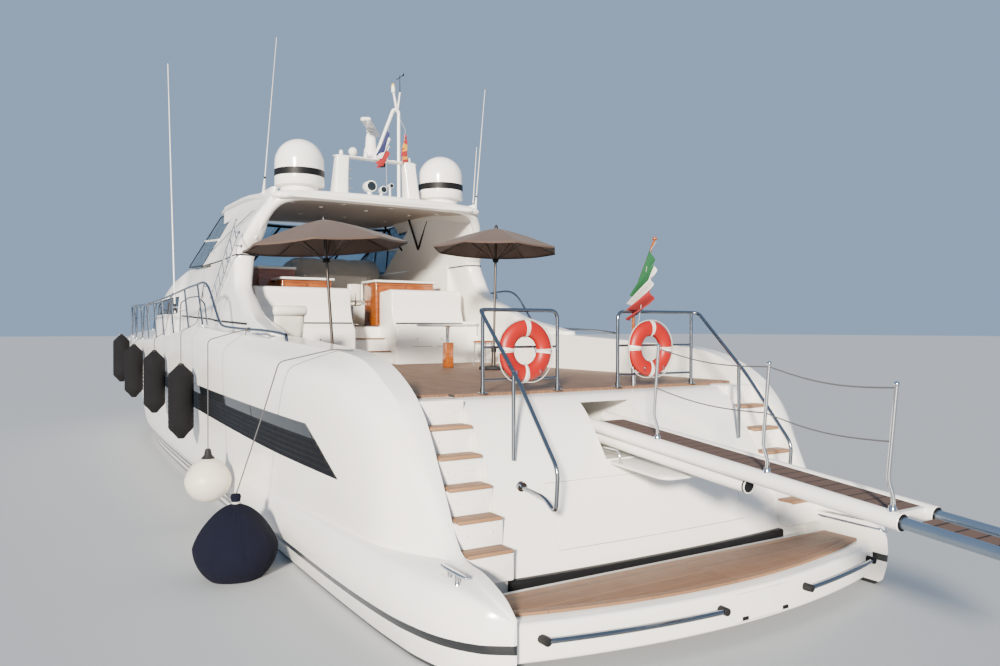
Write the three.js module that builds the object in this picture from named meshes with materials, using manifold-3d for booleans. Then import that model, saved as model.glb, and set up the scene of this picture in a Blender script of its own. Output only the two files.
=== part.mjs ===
// A 24 m open motor yacht with a raised cockpit, two stern staircases and a telescopic gangway.
// Millimetres, +X towards the bow, +Y to port, +Z up.
// The origin is on the centreline, amidships, in the plane of the waterline.

import * as THREE from 'three';
import { mergeVertices } from 'three/addons/utils/BufferGeometryUtils.js';
import Module from 'manifold-3d';

const wasm = await Module();
wasm.setup();

// Driving dimensions
const FIT = 0.3;                 // clearance where two pieces touch
const DECK_Z = 1970;             // top of the aft deck's teak
const TEAK = 25;                 // thickness of a teak deck
const WELL_HALF = 2200;          // half width of the aft deck between its bulwarks
const DECK_AFT = -10000;         // aft edge of the aft deck's teak
const BULKHEAD_X = -2850;        // step up from the aft deck to the raised cockpit
const SOLE_Z = 2660;             // floor of the raised cockpit
const PLATFORM_Z = 450;          // top of the bathing platform's teak
const PLATFORM_THICK = 305;
const PLATFORM_AFT = -12090;     // aft edge of the platform on the centreline
const PLATFORM_BOW = 320;        // how much further forward that edge is at its ends
const TRANSOM_FOOT = -11050;     // foot of the transom
const STAIR_IN = 1720;           // inner side of a staircase
const STAIR_RISE = 240;
const STAIR_GOING = 175;
const STEPS = 5;
const NOSING = 35;               // how far a tread stands out over its riser
const SILL_Z = 3850;             // lower edge of the raised cockpit's side glass
const ROOF_LIP_Z = 4655;         // lower edge of the hardtop's aft lip
const RAIL_R = 19;               // radius of a stainless rail
const PROP_X = -9100;
const PROP_Y = 1150;
const PROP_Z = -1080;
const SHAFT_FORE_X = -6300;
const RUDDER_X = -9800;

const COCKPIT = { fore: 2250, half: 1930 };

const SIDES = [['port', 1], ['starboard', -1]];

// Materials
const paint = (color, roughness = 0.35, metalness = 0) =>
  new THREE.MeshStandardMaterial({ color, roughness, metalness });
const white = paint(0xf3f1ec);
const steel = paint(0xc9ccce, 0.2, 1);
const teak = paint(0x9a7350, 0.7);
const darkGlass = paint(0x1b2226, 0.1);
const blueGlass = paint(0x5b7d92, 0.1);
const wood = paint(0xb5682c, 0.35);
const black = paint(0x17181a, 0.6);
const navy = paint(0x161b2e, 0.8);
const grey = paint(0x8f8b85, 0.7);
const taupe = paint(0x9b8378, 0.9);
const orange = paint(0xe8321c, 0.5);
const bronze = paint(0xa67c3d, 0.35, 1);
const fabric = paint(0xe9e5dc, 0.85);

const group = new THREE.Group();
group.name = 'motor_yacht';

// Turns a closed geometry into a solid that can be joined and cut
function solid(geometry) {
  const bare = geometry.index ? geometry.toNonIndexed() : geometry.clone();
  for (const name of Object.keys(bare.attributes)) {
    if (name !== 'position') bare.deleteAttribute(name);
  }
  const merged = mergeVertices(bare, 1e-3);
  return new wasm.Manifold(new wasm.Mesh({
    numProp: 3,
    vertProperties: new Float32Array(merged.attributes.position.array),
    triVerts: new Uint32Array(merged.index.array),
  }));
}

function geometryOf(manifold) {
  const mesh = manifold.getMesh();
  const geometry = new THREE.BufferGeometry();
  geometry.setAttribute('position', new THREE.BufferAttribute(mesh.vertProperties, 3));
  geometry.setIndex(new THREE.BufferAttribute(mesh.triVerts, 1));
  return geometry;
}

function addNode(name, shape, material) {
  const mesh = new THREE.Mesh(geometryOf(shape.simplify(0.02)), material);
  mesh.name = name;
  group.add(mesh);
  return mesh;
}

const union = (shapes) => shapes.reduce((sum, next) => sum.add(next));

// Box from its two corners
function box(x0, x1, y0, y1, z0, z1) {
  const geometry = new THREE.BoxGeometry(x1 - x0, y1 - y0, z1 - z0);
  geometry.translate((x0 + x1) / 2, (y0 + y1) / 2, (z0 + z1) / 2);
  return solid(geometry);
}

// Cylinder or cone between two points
function rod(from, to, radius, sides = 10, radiusTo = radius) {
  const a = new THREE.Vector3(...from);
  const b = new THREE.Vector3(...to);
  const geometry = new THREE.CylinderGeometry(radiusTo, radius, a.distanceTo(b), sides);
  geometry.translate(0, a.distanceTo(b) / 2, 0);
  const along = b.clone().sub(a).normalize();
  geometry.applyQuaternion(new THREE.Quaternion().setFromUnitVectors(new THREE.Vector3(0, 1, 0), along));
  geometry.translate(a.x, a.y, a.z);
  return solid(geometry);
}

// Round bar through points, with rounded corners
function bentBar(points, radius, bend = 90, sides = 8) {
  const path = new THREE.CurvePath();
  const corner = points.map((p) => new THREE.Vector3(...p));
  let start = corner[0];
  for (let i = 1; i < corner.length - 1; i += 1) {
    const back = corner[i - 1].clone().sub(corner[i]);
    const ahead = corner[i + 1].clone().sub(corner[i]);
    const cut = Math.min(bend, back.length() / 2.2, ahead.length() / 2.2);
    const enter = corner[i].clone().add(back.setLength(cut));
    const leave = corner[i].clone().add(ahead.setLength(cut));
    path.add(new THREE.LineCurve3(start, enter));
    path.add(new THREE.QuadraticBezierCurve3(enter, corner[i], leave));
    start = leave;
  }
  path.add(new THREE.LineCurve3(start, corner[corner.length - 1]));
  const stops = [];
  for (const curve of path.curves) {
    const steps = curve.isLineCurve3 ? 1 : 4;
    for (let k = 0; k < steps; k += 1) stops.push(curve.getPoint(k / steps));
  }
  stops.push(corner[corner.length - 1]);
  return sweep(stops, radius, sides);
}

// Round section swept through points, turned as little as possible from one point to the next
function sweep(stops, radius, sides) {
  const rings = [];
  let side = null;
  stops.forEach((stop, i) => {
    const before = stops[Math.max(i - 1, 0)];
    const after = stops[Math.min(i + 1, stops.length - 1)];
    const along = after.clone().sub(before).normalize();
    if (!side) side = Math.abs(along.z) < 0.9 ? new THREE.Vector3(0, 0, 1) : new THREE.Vector3(1, 0, 0);
    side.sub(along.clone().multiplyScalar(side.dot(along))).normalize();
    const other = along.clone().cross(side);
    const ring = [];
    for (let k = 0; k < sides; k += 1) {
      const turn = (2 * Math.PI * k) / sides;
      ring.push(stop.clone()
        .addScaledVector(side, radius * Math.cos(turn))
        .addScaledVector(other, radius * Math.sin(turn)).toArray());
    }
    rings.push(ring);
  });
  return loft(rings);
}

// Closed solid through rings of equal numbers of points, each a list of [x, y, z]
function loft(rings) {
  const count = rings[0].length;
  const position = rings.flat(2);
  const index = [];
  for (let r = 0; r < rings.length - 1; r += 1) {
    for (let k = 0; k < count; k += 1) {
      const a = r * count + k;
      const b = r * count + ((k + 1) % count);
      index.push(a, b, b + count, a, b + count, a + count);
    }
  }
  const capOf = (ring) => {
    const normal = new THREE.Vector3();
    const p = ring.map((q) => new THREE.Vector3(...q));
    p.forEach((q, i) => normal.add(q.clone().cross(p[(i + 1) % count])));
    const axis = ['x', 'y', 'z'].sort((u, v) => Math.abs(normal[v]) - Math.abs(normal[u]))[0];
    const flat = { x: ['y', 'z'], y: ['z', 'x'], z: ['x', 'y'] }[axis];
    const sign = Math.sign(normal[axis]);
    const outline = p.map((q) => new THREE.Vector2(q[flat[0]], q[flat[1]] * sign));
    return THREE.ShapeUtils.triangulateShape(outline, []);
  };
  const last = (rings.length - 1) * count;
  for (const [a, b, c] of capOf(rings[0])) index.push(a, c, b);
  for (const [a, b, c] of capOf(rings[rings.length - 1])) index.push(last + a, last + b, last + c);
  const geometry = new THREE.BufferGeometry();
  geometry.setAttribute('position', new THREE.Float32BufferAttribute(position, 3));
  geometry.setIndex(index);
  const made = solid(geometry);
  if (made.volume() > 0) return made;
  for (let i = 0; i < index.length; i += 3) [index[i], index[i + 1]] = [index[i + 1], index[i]];
  geometry.setIndex(index);
  return solid(geometry);
}

// Side view outline [x, z] made solid from y0 to y1
const sidePlate = (outline, y0, y1) => loft([y0, y1].map((y) => outline.map(([x, z]) => [x, y, z])));

// Plan outline [x, y] made solid from z0 to z1
const planPlate = (outline, z0, z1) => loft([z0, z1].map((z) => outline.map(([x, y]) => [x, y, z])));

// Solid turned about a vertical axis at (x, y), from a profile of [radius, z]
function turned(x, y, profile, sides = 20) {
  const geometry = new THREE.LatheGeometry(profile.map(([r, z]) => new THREE.Vector2(r, z)), sides);
  geometry.rotateX(Math.PI / 2);
  geometry.translate(x, y, 0);
  return solid(geometry);
}

const mirrored = (manifold, side) => (side > 0 ? manifold : manifold.mirror([0, 1, 0]));

// Fills in a table of rows by smooth curves between them
function smoothRows(table, perGap) {
  const rows = [];
  for (let i = 0; i < table.length - 1; i += 1) {
    const [p0, p1, p2, p3] = [table[Math.max(i - 1, 0)], table[i], table[i + 1],
      table[Math.min(i + 2, table.length - 1)]];
    for (let k = 0; k < perGap; k += 1) {
      const t = k / perGap;
      rows.push(p1.map((value, c) => {
        if (c === 0) return value + (p2[0] - value) * t;
        const gap = p2[0] - p1[0];
        const slopeIn = p2[0] === p0[0] ? 0 : ((p2[c] - p0[c]) / (p2[0] - p0[0])) * gap;
        const slopeOut = p3[0] === p1[0] ? 0 : ((p3[c] - p1[c]) / (p3[0] - p1[0])) * gap;
        const t2 = t * t;
        const t3 = t2 * t;
        return (2 * t3 - 3 * t2 + 1) * value + (t3 - 2 * t2 + t) * slopeIn
          + (3 * t2 - 2 * t3) * p2[c] + (t3 - t2) * slopeOut;
      }));
    }
  }
  rows.push(table[table.length - 1]);
  return rows;
}

// Hull stations. Each pair is a half breadth and a height: keel (height alone), chine, belt,
// top of the lower swelling, crease above it, topside, shoulder, ridge of the bulwark.
const HULL = [
  // x, keelZ, chineY, chineZ, beltY, beltZ, bootY, bootZ, creaseY, creaseZ,
  // sideY, sideZ, shoulderY, shoulderZ, ridgeY, ridgeZ
  [-11900, -100, 2165, 100, 2225, 300, 2215, 470, 2212, 480, 2210, 490, 2208, 500, 2205, 505],
  [-11750, -300, 2300, 0, 2430, 330, 2380, 575, 2290, 600, 2280, 605, 2270, 610, 2240, 615],
  [-11450, -600, 2440, -80, 2620, 370, 2550, 660, 2330, 700, 2310, 705, 2290, 710, 2250, 715],
  [-11050, -740, 2530, -110, 2730, 400, 2650, 705, 2330, 745, 2310, 760, 2280, 780, 2230, 800],
  [-10750, -750, 2550, -120, 2775, 410, 2700, 720, 2500, 752, 2450, 960, 2370, 1170, 2300, 1270],
  [-10400, -760, 2565, -130, 2805, 420, 2730, 728, 2645, 758, 2615, 1250, 2520, 1660, 2385, 1810],
  [-10000, -765, 2575, -130, 2825, 420, 2755, 730, 2690, 760, 2685, 1400, 2620, 1900, 2420, 2110],
  [-9400, -770, 2585, -130, 2840, 420, 2780, 725, 2720, 757, 2745, 1480, 2705, 2080, 2430, 2320],
  [-8400, -780, 2595, -130, 2845, 420, 2805, 705, 2770, 740, 2805, 1500, 2800, 2150, 2500, 2400],
  [-7000, -790, 2600, -125, 2845, 420, 2835, 680, 2825, 715, 2860, 1500, 2870, 2200, 2600, 2470],
  [-5000, -810, 2600, -120, 2830, 420, 2845, 665, 2845, 700, 2895, 1500, 2930, 2320, 2790, 2560],
  [-3500, -820, 2600, -110, 2820, 420, 2845, 660, 2845, 695, 2900, 1500, 2945, 2430, 2870, 2630],
  [-1000, -840, 2590, -90, 2800, 420, 2830, 660, 2830, 695, 2900, 1500, 2950, 2350, 2905, 2480],
  [2000, -860, 2540, -50, 2740, 420, 2780, 660, 2782, 695, 2860, 1500, 2950, 2260, 2915, 2370],
  [4200, -860, 2400, 30, 2620, 450, 2670, 690, 2673, 725, 2790, 1520, 2935, 2260, 2905, 2365],
  [6500, -820, 1930, 230, 2170, 600, 2250, 810, 2254, 845, 2480, 1600, 2790, 2310, 2765, 2410],
  [8500, -660, 1240, 560, 1480, 900, 1580, 1080, 1584, 1115, 1900, 1760, 2320, 2400, 2300, 2500],
  [10000, -280, 600, 960, 790, 1240, 880, 1390, 884, 1425, 1180, 1960, 1590, 2510, 1570, 2610],
  [11000, 600, 210, 1400, 320, 1640, 380, 1770, 383, 1800, 550, 2200, 790, 2610, 770, 2710],
  [11600, 1900, 45, 2060, 65, 2180, 78, 2250, 80, 2275, 110, 2450, 165, 2690, 150, 2780],
];
const DECK_CAMBER = 60;

function hullRing(row) {
  const [x, keelZ] = row;
  const half = [];
  for (let c = 2; c < row.length; c += 2) half.push([row[c], row[c + 1]]);
  const port = half.map(([y, z]) => [x, y, z]);
  const starboard = half.slice().reverse().map(([y, z]) => [x, -y, z]);
  const ridgeZ = half[half.length - 1][1];
  const crown = x < COCKPIT.fore + 300 ? Math.min(ridgeZ + DECK_CAMBER, SOLE_Z - 100) : ridgeZ + DECK_CAMBER;
  return [[x, 0, keelZ], ...port, [x, 0, crown], ...starboard];
}

// Height of the hull's ridge at a station
function ridgeAt(x) {
  const rows = smoothRows(HULL, 2);
  const i = rows.findIndex((row) => row[0] >= x);
  const [a, b] = [rows[Math.max(i - 1, 0)], rows[Math.max(i, 1)]];
  const t = (x - a[0]) / (b[0] - a[0]);
  return { y: a[14] + (b[14] - a[14]) * t, z: a[15] + (b[15] - a[15]) * t };
}

// Curved aft face of the transom in side view, from the deck edge to the foot
const TRANSOM = [
  // x, z
  [-10050, DECK_Z - TEAK], [-10200, 1915], [-10400, 1760], [-10600, 1500], [-10780, 1220],
  [-10930, 900], [-11020, 640], [TRANSOM_FOOT, 430],
];
const TRANSOM_BOW = 110;         // how much further forward the transom is at its sides

// Space over the platform: everything aft of a surface that lies off the transom by a distance
function sternSpace(off, halfWidth, top) {
  const stations = [-1, -0.5, 0, 0.5, 1];
  return loft(stations.map((s) => {
    const forward = TRANSOM_BOW * s * s - off;
    const face = TRANSOM.map(([x, z]) => [x + forward, s * halfWidth, z]);
    const foot = TRANSOM_FOOT + forward;
    return [[-10050 + forward, s * halfWidth, top], ...face,
      [foot, s * halfWidth, -1500], [-13500, s * halfWidth, -1500], [-13500, s * halfWidth, top]];
  }));
}

const stepX = (step) => -10230 - STAIR_GOING * step;
const stepZ = (step) => DECK_Z - STAIR_RISE * step;

// Side outline of a staircase, its upper face stepped
function stairOutline() {
  const outline = [[-9900, 1450], [-9900, stepZ(0) - TEAK], [stepX(0), stepZ(0) - TEAK]];
  for (let step = 1; step <= STEPS; step += 1) {
    outline.push([stepX(step - 1), stepZ(step)], [stepX(step), stepZ(step)]);
  }
  outline.push([stepX(STEPS), 500], [-11000, 500]);
  return outline;
}

const GANGWAY = { y: 100, half: 260, pivotX: -10100, z: 1655, slope: 5.3, tipX: -13640 };
const RECESS = { half: 320, fore: -9300, low: 1345, high: 1860 };
const GARAGE = { half: 1180, top: 1200, bottom: 640, thick: 70 };

function makeHull() {
  let hull = loft(smoothRows(HULL, 2).map(hullRing));
  hull = hull.subtract(box(-12500, TRANSOM_FOOT + 50, -3500, 3500, -1500, -100));
  hull = hull.subtract(box(-10250, BULKHEAD_X, -WELL_HALF, WELL_HALF, DECK_Z - TEAK, 4000));
  hull = hull.subtract(sternSpace(0, WELL_HALF, 4000));
  for (const [, side] of SIDES) {
    const channel = [[-9900, 1450 - FIT], [-9900 + FIT, 4000], [-13000, 4000], [-13000, 500 - FIT],
      [-11000, 500 - FIT]];
    const ends = [side * STAIR_IN, side * WELL_HALF].sort((a, b) => a - b);
    hull = hull.subtract(sidePlate(channel, ends[0], ends[1]));
  }
  hull = hull.subtract(box(-11500, RECESS.fore, GANGWAY.y - RECESS.half, GANGWAY.y + RECESS.half,
    RECESS.low, RECESS.high));
  for (const [, side] of SIDES) {
    hull = hull.subtract(rod([RUDDER_X, side * PROP_Y, -700], [RUDDER_X, side * PROP_Y, -200], 38, 16));
  }
  return addCarriers(hull.subtract(garageSlab(FIT, 30)));
}

// Slab behind the transom's skin where the garage door closes
function garageSlab(grow, deeper) {
  const zone = box(-12000, -10000, -GARAGE.half - grow, GARAGE.half + grow,
    GARAGE.bottom - grow, GARAGE.top + grow);
  const outer = sternSpace(0, WELL_HALF, 4000);
  const inner = sternSpace(-(GARAGE.thick + deeper), WELL_HALF, 4000);
  return inner.subtract(outer).intersect(zone);
}

function makeStairs() {
  for (const [name, side] of SIDES) {
    const ends = [side * (STAIR_IN + FIT), side * (WELL_HALF - FIT)].sort((a, b) => a - b);
    const treads = [];
    for (let step = 1; step <= STEPS; step += 1) {
      const tread = box(stepX(step) - NOSING, stepX(step - 1) + 5, STAIR_IN + 12, WELL_HALF - 12,
        stepZ(step) - 28, stepZ(step));
      treads.push(mirrored(tread, side));
    }
    addNode(`stairs_${name}`, union([sidePlate(stairOutline(), ends[0], ends[1]), ...treads]), white);
  }
}

// Plan outline of the platform, its aft edge an arc
function platformOutline(inset, half) {
  const fore = TRANSOM_FOOT - 60 - inset;
  const outline = [[fore, -half], [fore, half]];
  const arcSteps = 14;
  for (let k = 0; k <= arcSteps; k += 1) {
    const s = 1 - (2 * k) / arcSteps;
    outline.push([PLATFORM_AFT + inset + PLATFORM_BOW * s * s, half * s]);
  }
  return outline.reverse();
}

// Flap of the bathing ladder's locker, let into the platform's aft face
const HATCH = { y: -190, half: 330, thick: 22, low: PLATFORM_Z - TEAK - 270, high: PLATFORM_Z - TEAK - 40 };

const RUB_BARS = [[340, 1940], [-750, -2000]];
const RUB_BAR = { z: 300, out: 60, radius: 21 };

// A point off the platform's aft edge
function offPlatform(y, out, z) {
  const s = y / (WELL_HALF - 15);
  return new THREE.Vector3(PLATFORM_AFT + PLATFORM_BOW * s * s - out, y, z);
}

function makeRubBars() {
  const { z, out, radius } = RUB_BAR;
  return RUB_BARS.flatMap(([inner, outer]) => {
    const stops = [];
    for (let k = 0; k <= 6; k += 1) stops.push(offPlatform(inner + ((outer - inner) * k) / 6, out, z));
    const blocks = [stops[0], stops[6]].map((p) =>
      rod([p.x + out + 40, p.y, z], [p.x - radius - 4, p.y, z], 32, 12));
    return [sweep(stops, radius, 8), ...blocks];
  });
}

function makePlatform() {
  const half = WELL_HALF - 15;
  const top = PLATFORM_Z - TEAK;
  const slab = planPlate(platformOutline(0, half), top - PLATFORM_THICK, top);
  const zone = (grow) => box(-13000, PLATFORM_AFT + 300, HATCH.y - HATCH.half - grow,
    HATCH.y + HATCH.half + grow, HATCH.low - grow, HATCH.high + grow);
  const locker = box(PLATFORM_AFT + HATCH.thick - 5, -11400, HATCH.y - HATCH.half + 30,
    HATCH.y + HATCH.half - 30, HATCH.low + 30, HATCH.high - 30);
  const seat = zone(5).subtract(planPlate(platformOutline(HATCH.thick + FIT, half), 0, top));
  addNode('swim_platform', union([slab.subtract(locker).subtract(seat), ...makeRubBars()]), white);
  addNode('platform_teak', planPlate(platformOutline(90, half - 70), top + FIT, PLATFORM_Z), teak);
  const skin = slab.subtract(planPlate(platformOutline(HATCH.thick, half), 0, 2 * top));
  addNode('platform_hatch', skin.intersect(zone(0)), white);
}

function makeAftDeck() {
  const half = WELL_HALF - 40;
  const low = DECK_Z - TEAK + FIT;
  let deck = box(DECK_AFT, CABINET_AFT - 2, -half, half, low, DECK_Z)
    .add(box(CABINET_AFT - 50, STEP_AFT - 2, PASSAGE.y0 + 2, PASSAGE.y1 - 2, low, DECK_Z));
  for (const [, side] of SIDES) {
    const ends = [side * (STAIR_IN - 20), side * 3000].sort((a, b) => a - b);
    deck = deck.subtract(box(-11000, -9880, ends[0], ends[1], 1500, 2500));
  }
  addNode('aft_deck_teak', deck, teak);
}

function makeGarageDoor() {
  addNode('garage_door', garageSlab(-5, -2).subtract(sternSpace(-1, WELL_HALF, 4000)), white);
}

// Deckhouse stations: half breadth and height of the foot, side top and roof edge, and the crown
const HOUSE = [
  // x, footY, footZ, sideY, sideZ, roofY, roofZ, crownZ
  [BULKHEAD_X, 2230, 2300, 2160, 3600, 2120, 3830, 3850],
  [-800, 2230, 2300, 2150, 3600, 2110, 3835, 3855],
  [1300, 2200, 2250, 2090, 3580, 2040, 3900, 3950],
  [2300, 2155, 2200, 2035, 3560, 1960, 3985, 4100],
  [3000, 2100, 2200, 1975, 3500, 1840, 3930, 4080],
  [4400, 1990, 2200, 1850, 3320, 1620, 3700, 3850],
  [6200, 1680, 2200, 1540, 3080, 1300, 3350, 3480],
  [7600, 1260, 2200, 1120, 2780, 920, 2960, 3050],
  [8700, 700, 2250, 600, 2540, 480, 2600, 2640],
];

// Height of the deckhouse's roof at a place
function houseTop(x, y) {
  const rows = smoothRows(HOUSE, 2);
  const i = rows.findIndex((row) => row[0] >= x);
  const [a, b] = [rows[i - 1], rows[i]];
  const t = (x - a[0]) / (b[0] - a[0]);
  const [roofY, roofZ, crownZ] = [5, 6, 7].map((c) => a[c] + (b[c] - a[c]) * t);
  return roofZ + ((crownZ - roofZ) * (roofY - Math.abs(y))) / roofY;
}

function houseRing([x, footY, footZ, sideY, sideZ, roofY, roofZ, crownZ], wall = 0, floor = 0) {
  const half = [[footY - wall, footZ + floor], [sideY - wall, sideZ], [roofY - wall, roofZ - wall]];
  return [...half.map(([y, z]) => [x, y, z]), [x, 0, crownZ - wall],
    ...half.slice().reverse().map(([y, z]) => [x, -y, z])];
}

const COMPANION = { y0: 700, y1: 1350, top: 3560 };

// Side window of the saloon, as a block through both walls
function saloonWindow(grow) {
  const outline = [[2750 - grow, 2960 - grow], [6450 + 3 * grow, 2960 - grow],
    [6200 + 2 * grow, 3100 + grow], [4500, 3300 + grow], [2750 - grow, 3340 + grow]];
  return sidePlate(outline, -3000, 3000);
}

function makeDeckhouse() {
  const rows = smoothRows(HOUSE, 2);
  let house = loft(rows.map((row) => houseRing(row)));
  const cabinRows = rows.filter((row) => row[0] > COCKPIT.fore + 100 && row[0] < 8000);
  house = house.subtract(loft(cabinRows.map((row) => houseRing(row, 70, 330))));
  house = house.subtract(box(BULKHEAD_X - 200, COCKPIT.fore, -COCKPIT.half, COCKPIT.half, SOLE_Z, 5000));
  house = house.subtract(saloonWindow(0));
  house = house.subtract(box(COCKPIT.fore - 100, COCKPIT.fore + 1100, COMPANION.y0, COMPANION.y1,
    SOLE_Z + 40, COMPANION.top));
  house = house.subtract(loft(smoothRows(HULL, 2).map(hullRing)).translate([0, 0, FIT]));
  house = house.intersect(box(BULKHEAD_X, 9000, -3000, 3000, 2000, 5000));
  house = largest(house);
  addNode('deckhouse', house, white);
  return house;
}

// A panel of glass that follows the deckhouse's side within a block
function houseSkin(outer, inner) {
  const rows = smoothRows(HOUSE, 2);
  return loft(rows.map((row) => houseRing(row, outer))).subtract(
    loft(rows.map((row) => houseRing(row, inner)).map((ring, i) => ring.map(([x, y, z]) =>
      [x + (i === 0 ? -50 : i === rows.length - 1 ? 50 : 0), y, z < 2400 ? z - 200 : z]))));
}

function makeSaloonWindows() {
  const panes = houseSkin(12, 30).intersect(saloonWindow(-3));
  for (const [name, side] of SIDES) {
    const half = side > 0 ? box(-9000, 9000, 1, 4000, 0, 5000) : box(-9000, 9000, -4000, -1, 0, 5000);
    addNode(`saloon_window_${name}`, panes.intersect(half), darkGlass);
  }
}

// Body of the hull before the decks are cut out of it, grown upwards by a gap
const hullBlock = (gap) => loft(smoothRows(HULL, 2).map(hullRing)).translate([0, 0, gap]);

// Height of the transom's face at a place
function transomZ(x, y) {
  const forward = TRANSOM_BOW * (y / WELL_HALF) ** 2;
  const i = Math.max(TRANSOM.findIndex(([faceX]) => faceX + forward <= x), 1);
  const [[x0, z0], [x1, z1]] = [TRANSOM[i - 1], TRANSOM[i]];
  return z0 + ((z1 - z0) * (x - forward - x0)) / (x1 - x0);
}

// Side outline of an arch leg, from the hardtop down to its sweep along the bulwark
const ARCH = [
  // x, z
  [-4210, 4760], [-4155, ROOF_LIP_Z - 10], [-4070, 4470], [-3940, 4100], [-3640, 3790], [-3740, 3530],
  [-3890, 3280], [-4430, 3040], [-5100, 2790], [-5800, 2660], [-6300, 2580], [-6300, 2300], [340, 2300],
  [350, 3895], [-450, 4240], [-780, 4390], [-1700, 4850], [-1720, 4890],
];
// Height, inner and outer half breadth of an arch leg
const LEG = [
  // z, inner, outer
  [2300, 2285, 2560], [3040, 2120, 2370], [3790, 1955, 2285], [4200, 1870, 2160], [4400, 1825, 2060],
  [ROOF_LIP_Z, 1770, 1880], [4900, 1740, 1845],
];

// Half breadths of an arch leg at a height
function legAt(z) {
  const i = Math.min(Math.max(LEG.findIndex((row) => row[0] > z), 1), LEG.length - 1);
  const [[z0, in0, out0], [z1, in1, out1]] = [LEG[i - 1], LEG[i]];
  const t = (z - z0) / (z1 - z0);
  return { inner: in0 + (in1 - in0) * t, outer: out0 + (out1 - out0) * t };
}

const LADDER = { foot: [-2020, 3130], head: [-4010, 4305], y: 2360, gap: 270, rungs: 7, feet: [0.53, 0.86] };

// Ladder that leans along the port arch, with two pairs of feet against it
function makeLadder() {
  const { foot, head, y, gap, rungs, feet } = LADDER;
  const along = [head[0] - foot[0], head[1] - foot[1]];
  const length = Math.hypot(...along);
  const place = (t, side, inward = 0) => [foot[0] + along[0] * t - (gap * side * along[1]) / length,
    y - inward, foot[1] + along[1] * t + (gap * side * along[0]) / length];
  const parts = [0, 1].map((side) => rod(place(0, side), place(1, side), 13, 6));
  for (let k = 0; k < rungs; k += 1) {
    const t = (k + 0.5) / rungs;
    parts.push(rod(place(t, 0), place(t, 1), 10, 6));
  }
  for (const t of feet) {
    for (const side of [0, 1]) parts.push(rod(place(t, side), place(t, side, 180), 11, 6));
  }
  return parts;
}

function makeArches(deckhouse, hardtop) {
  const ring = (side) => ARCH.map(([x, z]) => [x, legAt(z)[side], z]);
  const plate = loft([ring('inner'), ring('outer')])
    .subtract(box(BULKHEAD_X - FIT, 1000, 0, 3000, 0, SILL_Z + FIT + 10))
    .subtract(deckhouse.translate([0, 0, FIT]));
  const over = loft(ROOF.map(([x, half, underZ]) => [[x, -half - 100, underZ + 24],
    [x, half + 100, underZ + 24], [x, half + 100, 5300], [x, -half - 100, 5300]]));
  const outside = union([hardtop.translate([0, 0, -FIT]), over, hullBlock(FIT)]);
  for (const [name, side] of SIDES) {
    const leg = largest(mirrored(plate, side).subtract(outside));
    addNode(`arch_${name}`, side > 0 ? union([leg, ...makeLadder()]) : leg, white);
  }
}

// Hardtop stations: half width, height of its underside, its edge and its crown
const ROOF = [
  // x, half, underZ, edgeZ, crownZ
  [-4370, 1660, ROOF_LIP_Z + 15, 4745, 4800], [-4310, 1820, ROOF_LIP_Z, 4765, 4835],
  [-4100, 1880, ROOF_LIP_Z, 4790, 4865], [-3400, 1900, 4730, 4860, 4925], [-2600, 1900, 4820, 4935, 4985],
  [-1200, 1890, 4855, 4955, 5005], [-300, 1800, 4850, 4940, 4985], [350, 1400, 4850, 4925, 4955],
];
const ROOF_DISH = 60;

function hardtopBody() {
  const ring = ([x, half, underZ, edgeZ, crownZ]) => {
    const side = [[half - 110, underZ], [half, underZ + 25], [half, edgeZ - 30], [half - 160, edgeZ + 20],
      [half * 0.5, crownZ - 15]];
    return [[x, 0, underZ + ROOF_DISH], ...side.map(([y, z]) => [x, y, z]), [x, 0, crownZ],
      ...side.slice().reverse().map(([y, z]) => [x, -y, z])];
  };
  return loft(ROOF.map(ring));
}

const ROOF_GEAR = [
  // y, height of the post, its radius, length, radius aft and radius forward of what it carries
  [150, 150, 42, 180, 95, 95], [-60, 105, 26, 230, 62, 32], [-220, 190, 20, 150, 42, 26],
];
const ROOF_GEAR_X = -4000;

// Searchlight, horn and camera between the mast's legs
const makeRoofGear = () => ROOF_GEAR.flatMap(([y, high, post, long, aft, fore]) => {
  const z = 4870 + high;
  return [rod([ROOF_GEAR_X, y, 4820], [ROOF_GEAR_X, y, z], post, 10),
    rod([ROOF_GEAR_X - long / 2, y, z], [ROOF_GEAR_X + long / 2, y, z + 8], aft, 14, fore)];
});

// Windscreen: foot and head of each pillar, from the port corner round to the starboard one
const SCREEN = [
  // footX, footY, headX, headY
  [2330, 1885, -250, 1735], [2650, 1320, 120, 1180], [2850, 540, 290, 460],
  [2850, -540, 290, -460], [2650, -1320, 120, -1180], [2330, -1885, -250, -1735],
];
const SCREEN_HEAD_Z = 4795;
const PILLAR_R = 28;

function makeWindscreen(deckhouse) {
  const house = deckhouse.translate([0, 0, FIT]);
  const foot = SCREEN.map(([x, y]) => [x, y, houseTop(x, y) + PILLAR_R / 2]);
  const head = SCREEN.map(([, , x, y]) => [x, y, SCREEN_HEAD_Z]);
  const bars = foot.map((p, i) => rod(p, head[i], PILLAR_R - 3, 6));
  for (const row of [foot, head]) bars.push(sweep(row.map((p) => new THREE.Vector3(...p)), PILLAR_R, 7));
  addNode('windscreen_frame', union(bars).subtract(house), black);
  const strip = foot.map((low, i) => {
    const along = new THREE.Vector3(...low).sub(new THREE.Vector3(...head[i])).normalize();
    const out = new THREE.Vector3(0, 0, 1).addScaledVector(along, -along.z).normalize();
    const from = new THREE.Vector3(...low).addScaledVector(along, 230);
    const corner = (end, off) => end.clone().addScaledVector(out, off).toArray();
    const top = new THREE.Vector3(...head[i]);
    return [corner(from, 40), corner(from, 50), corner(top, 50), corner(top, 40)];
  });
  addNode('windscreen_glass', upper(loft(strip).subtract(house)), blueGlass);
}

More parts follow.
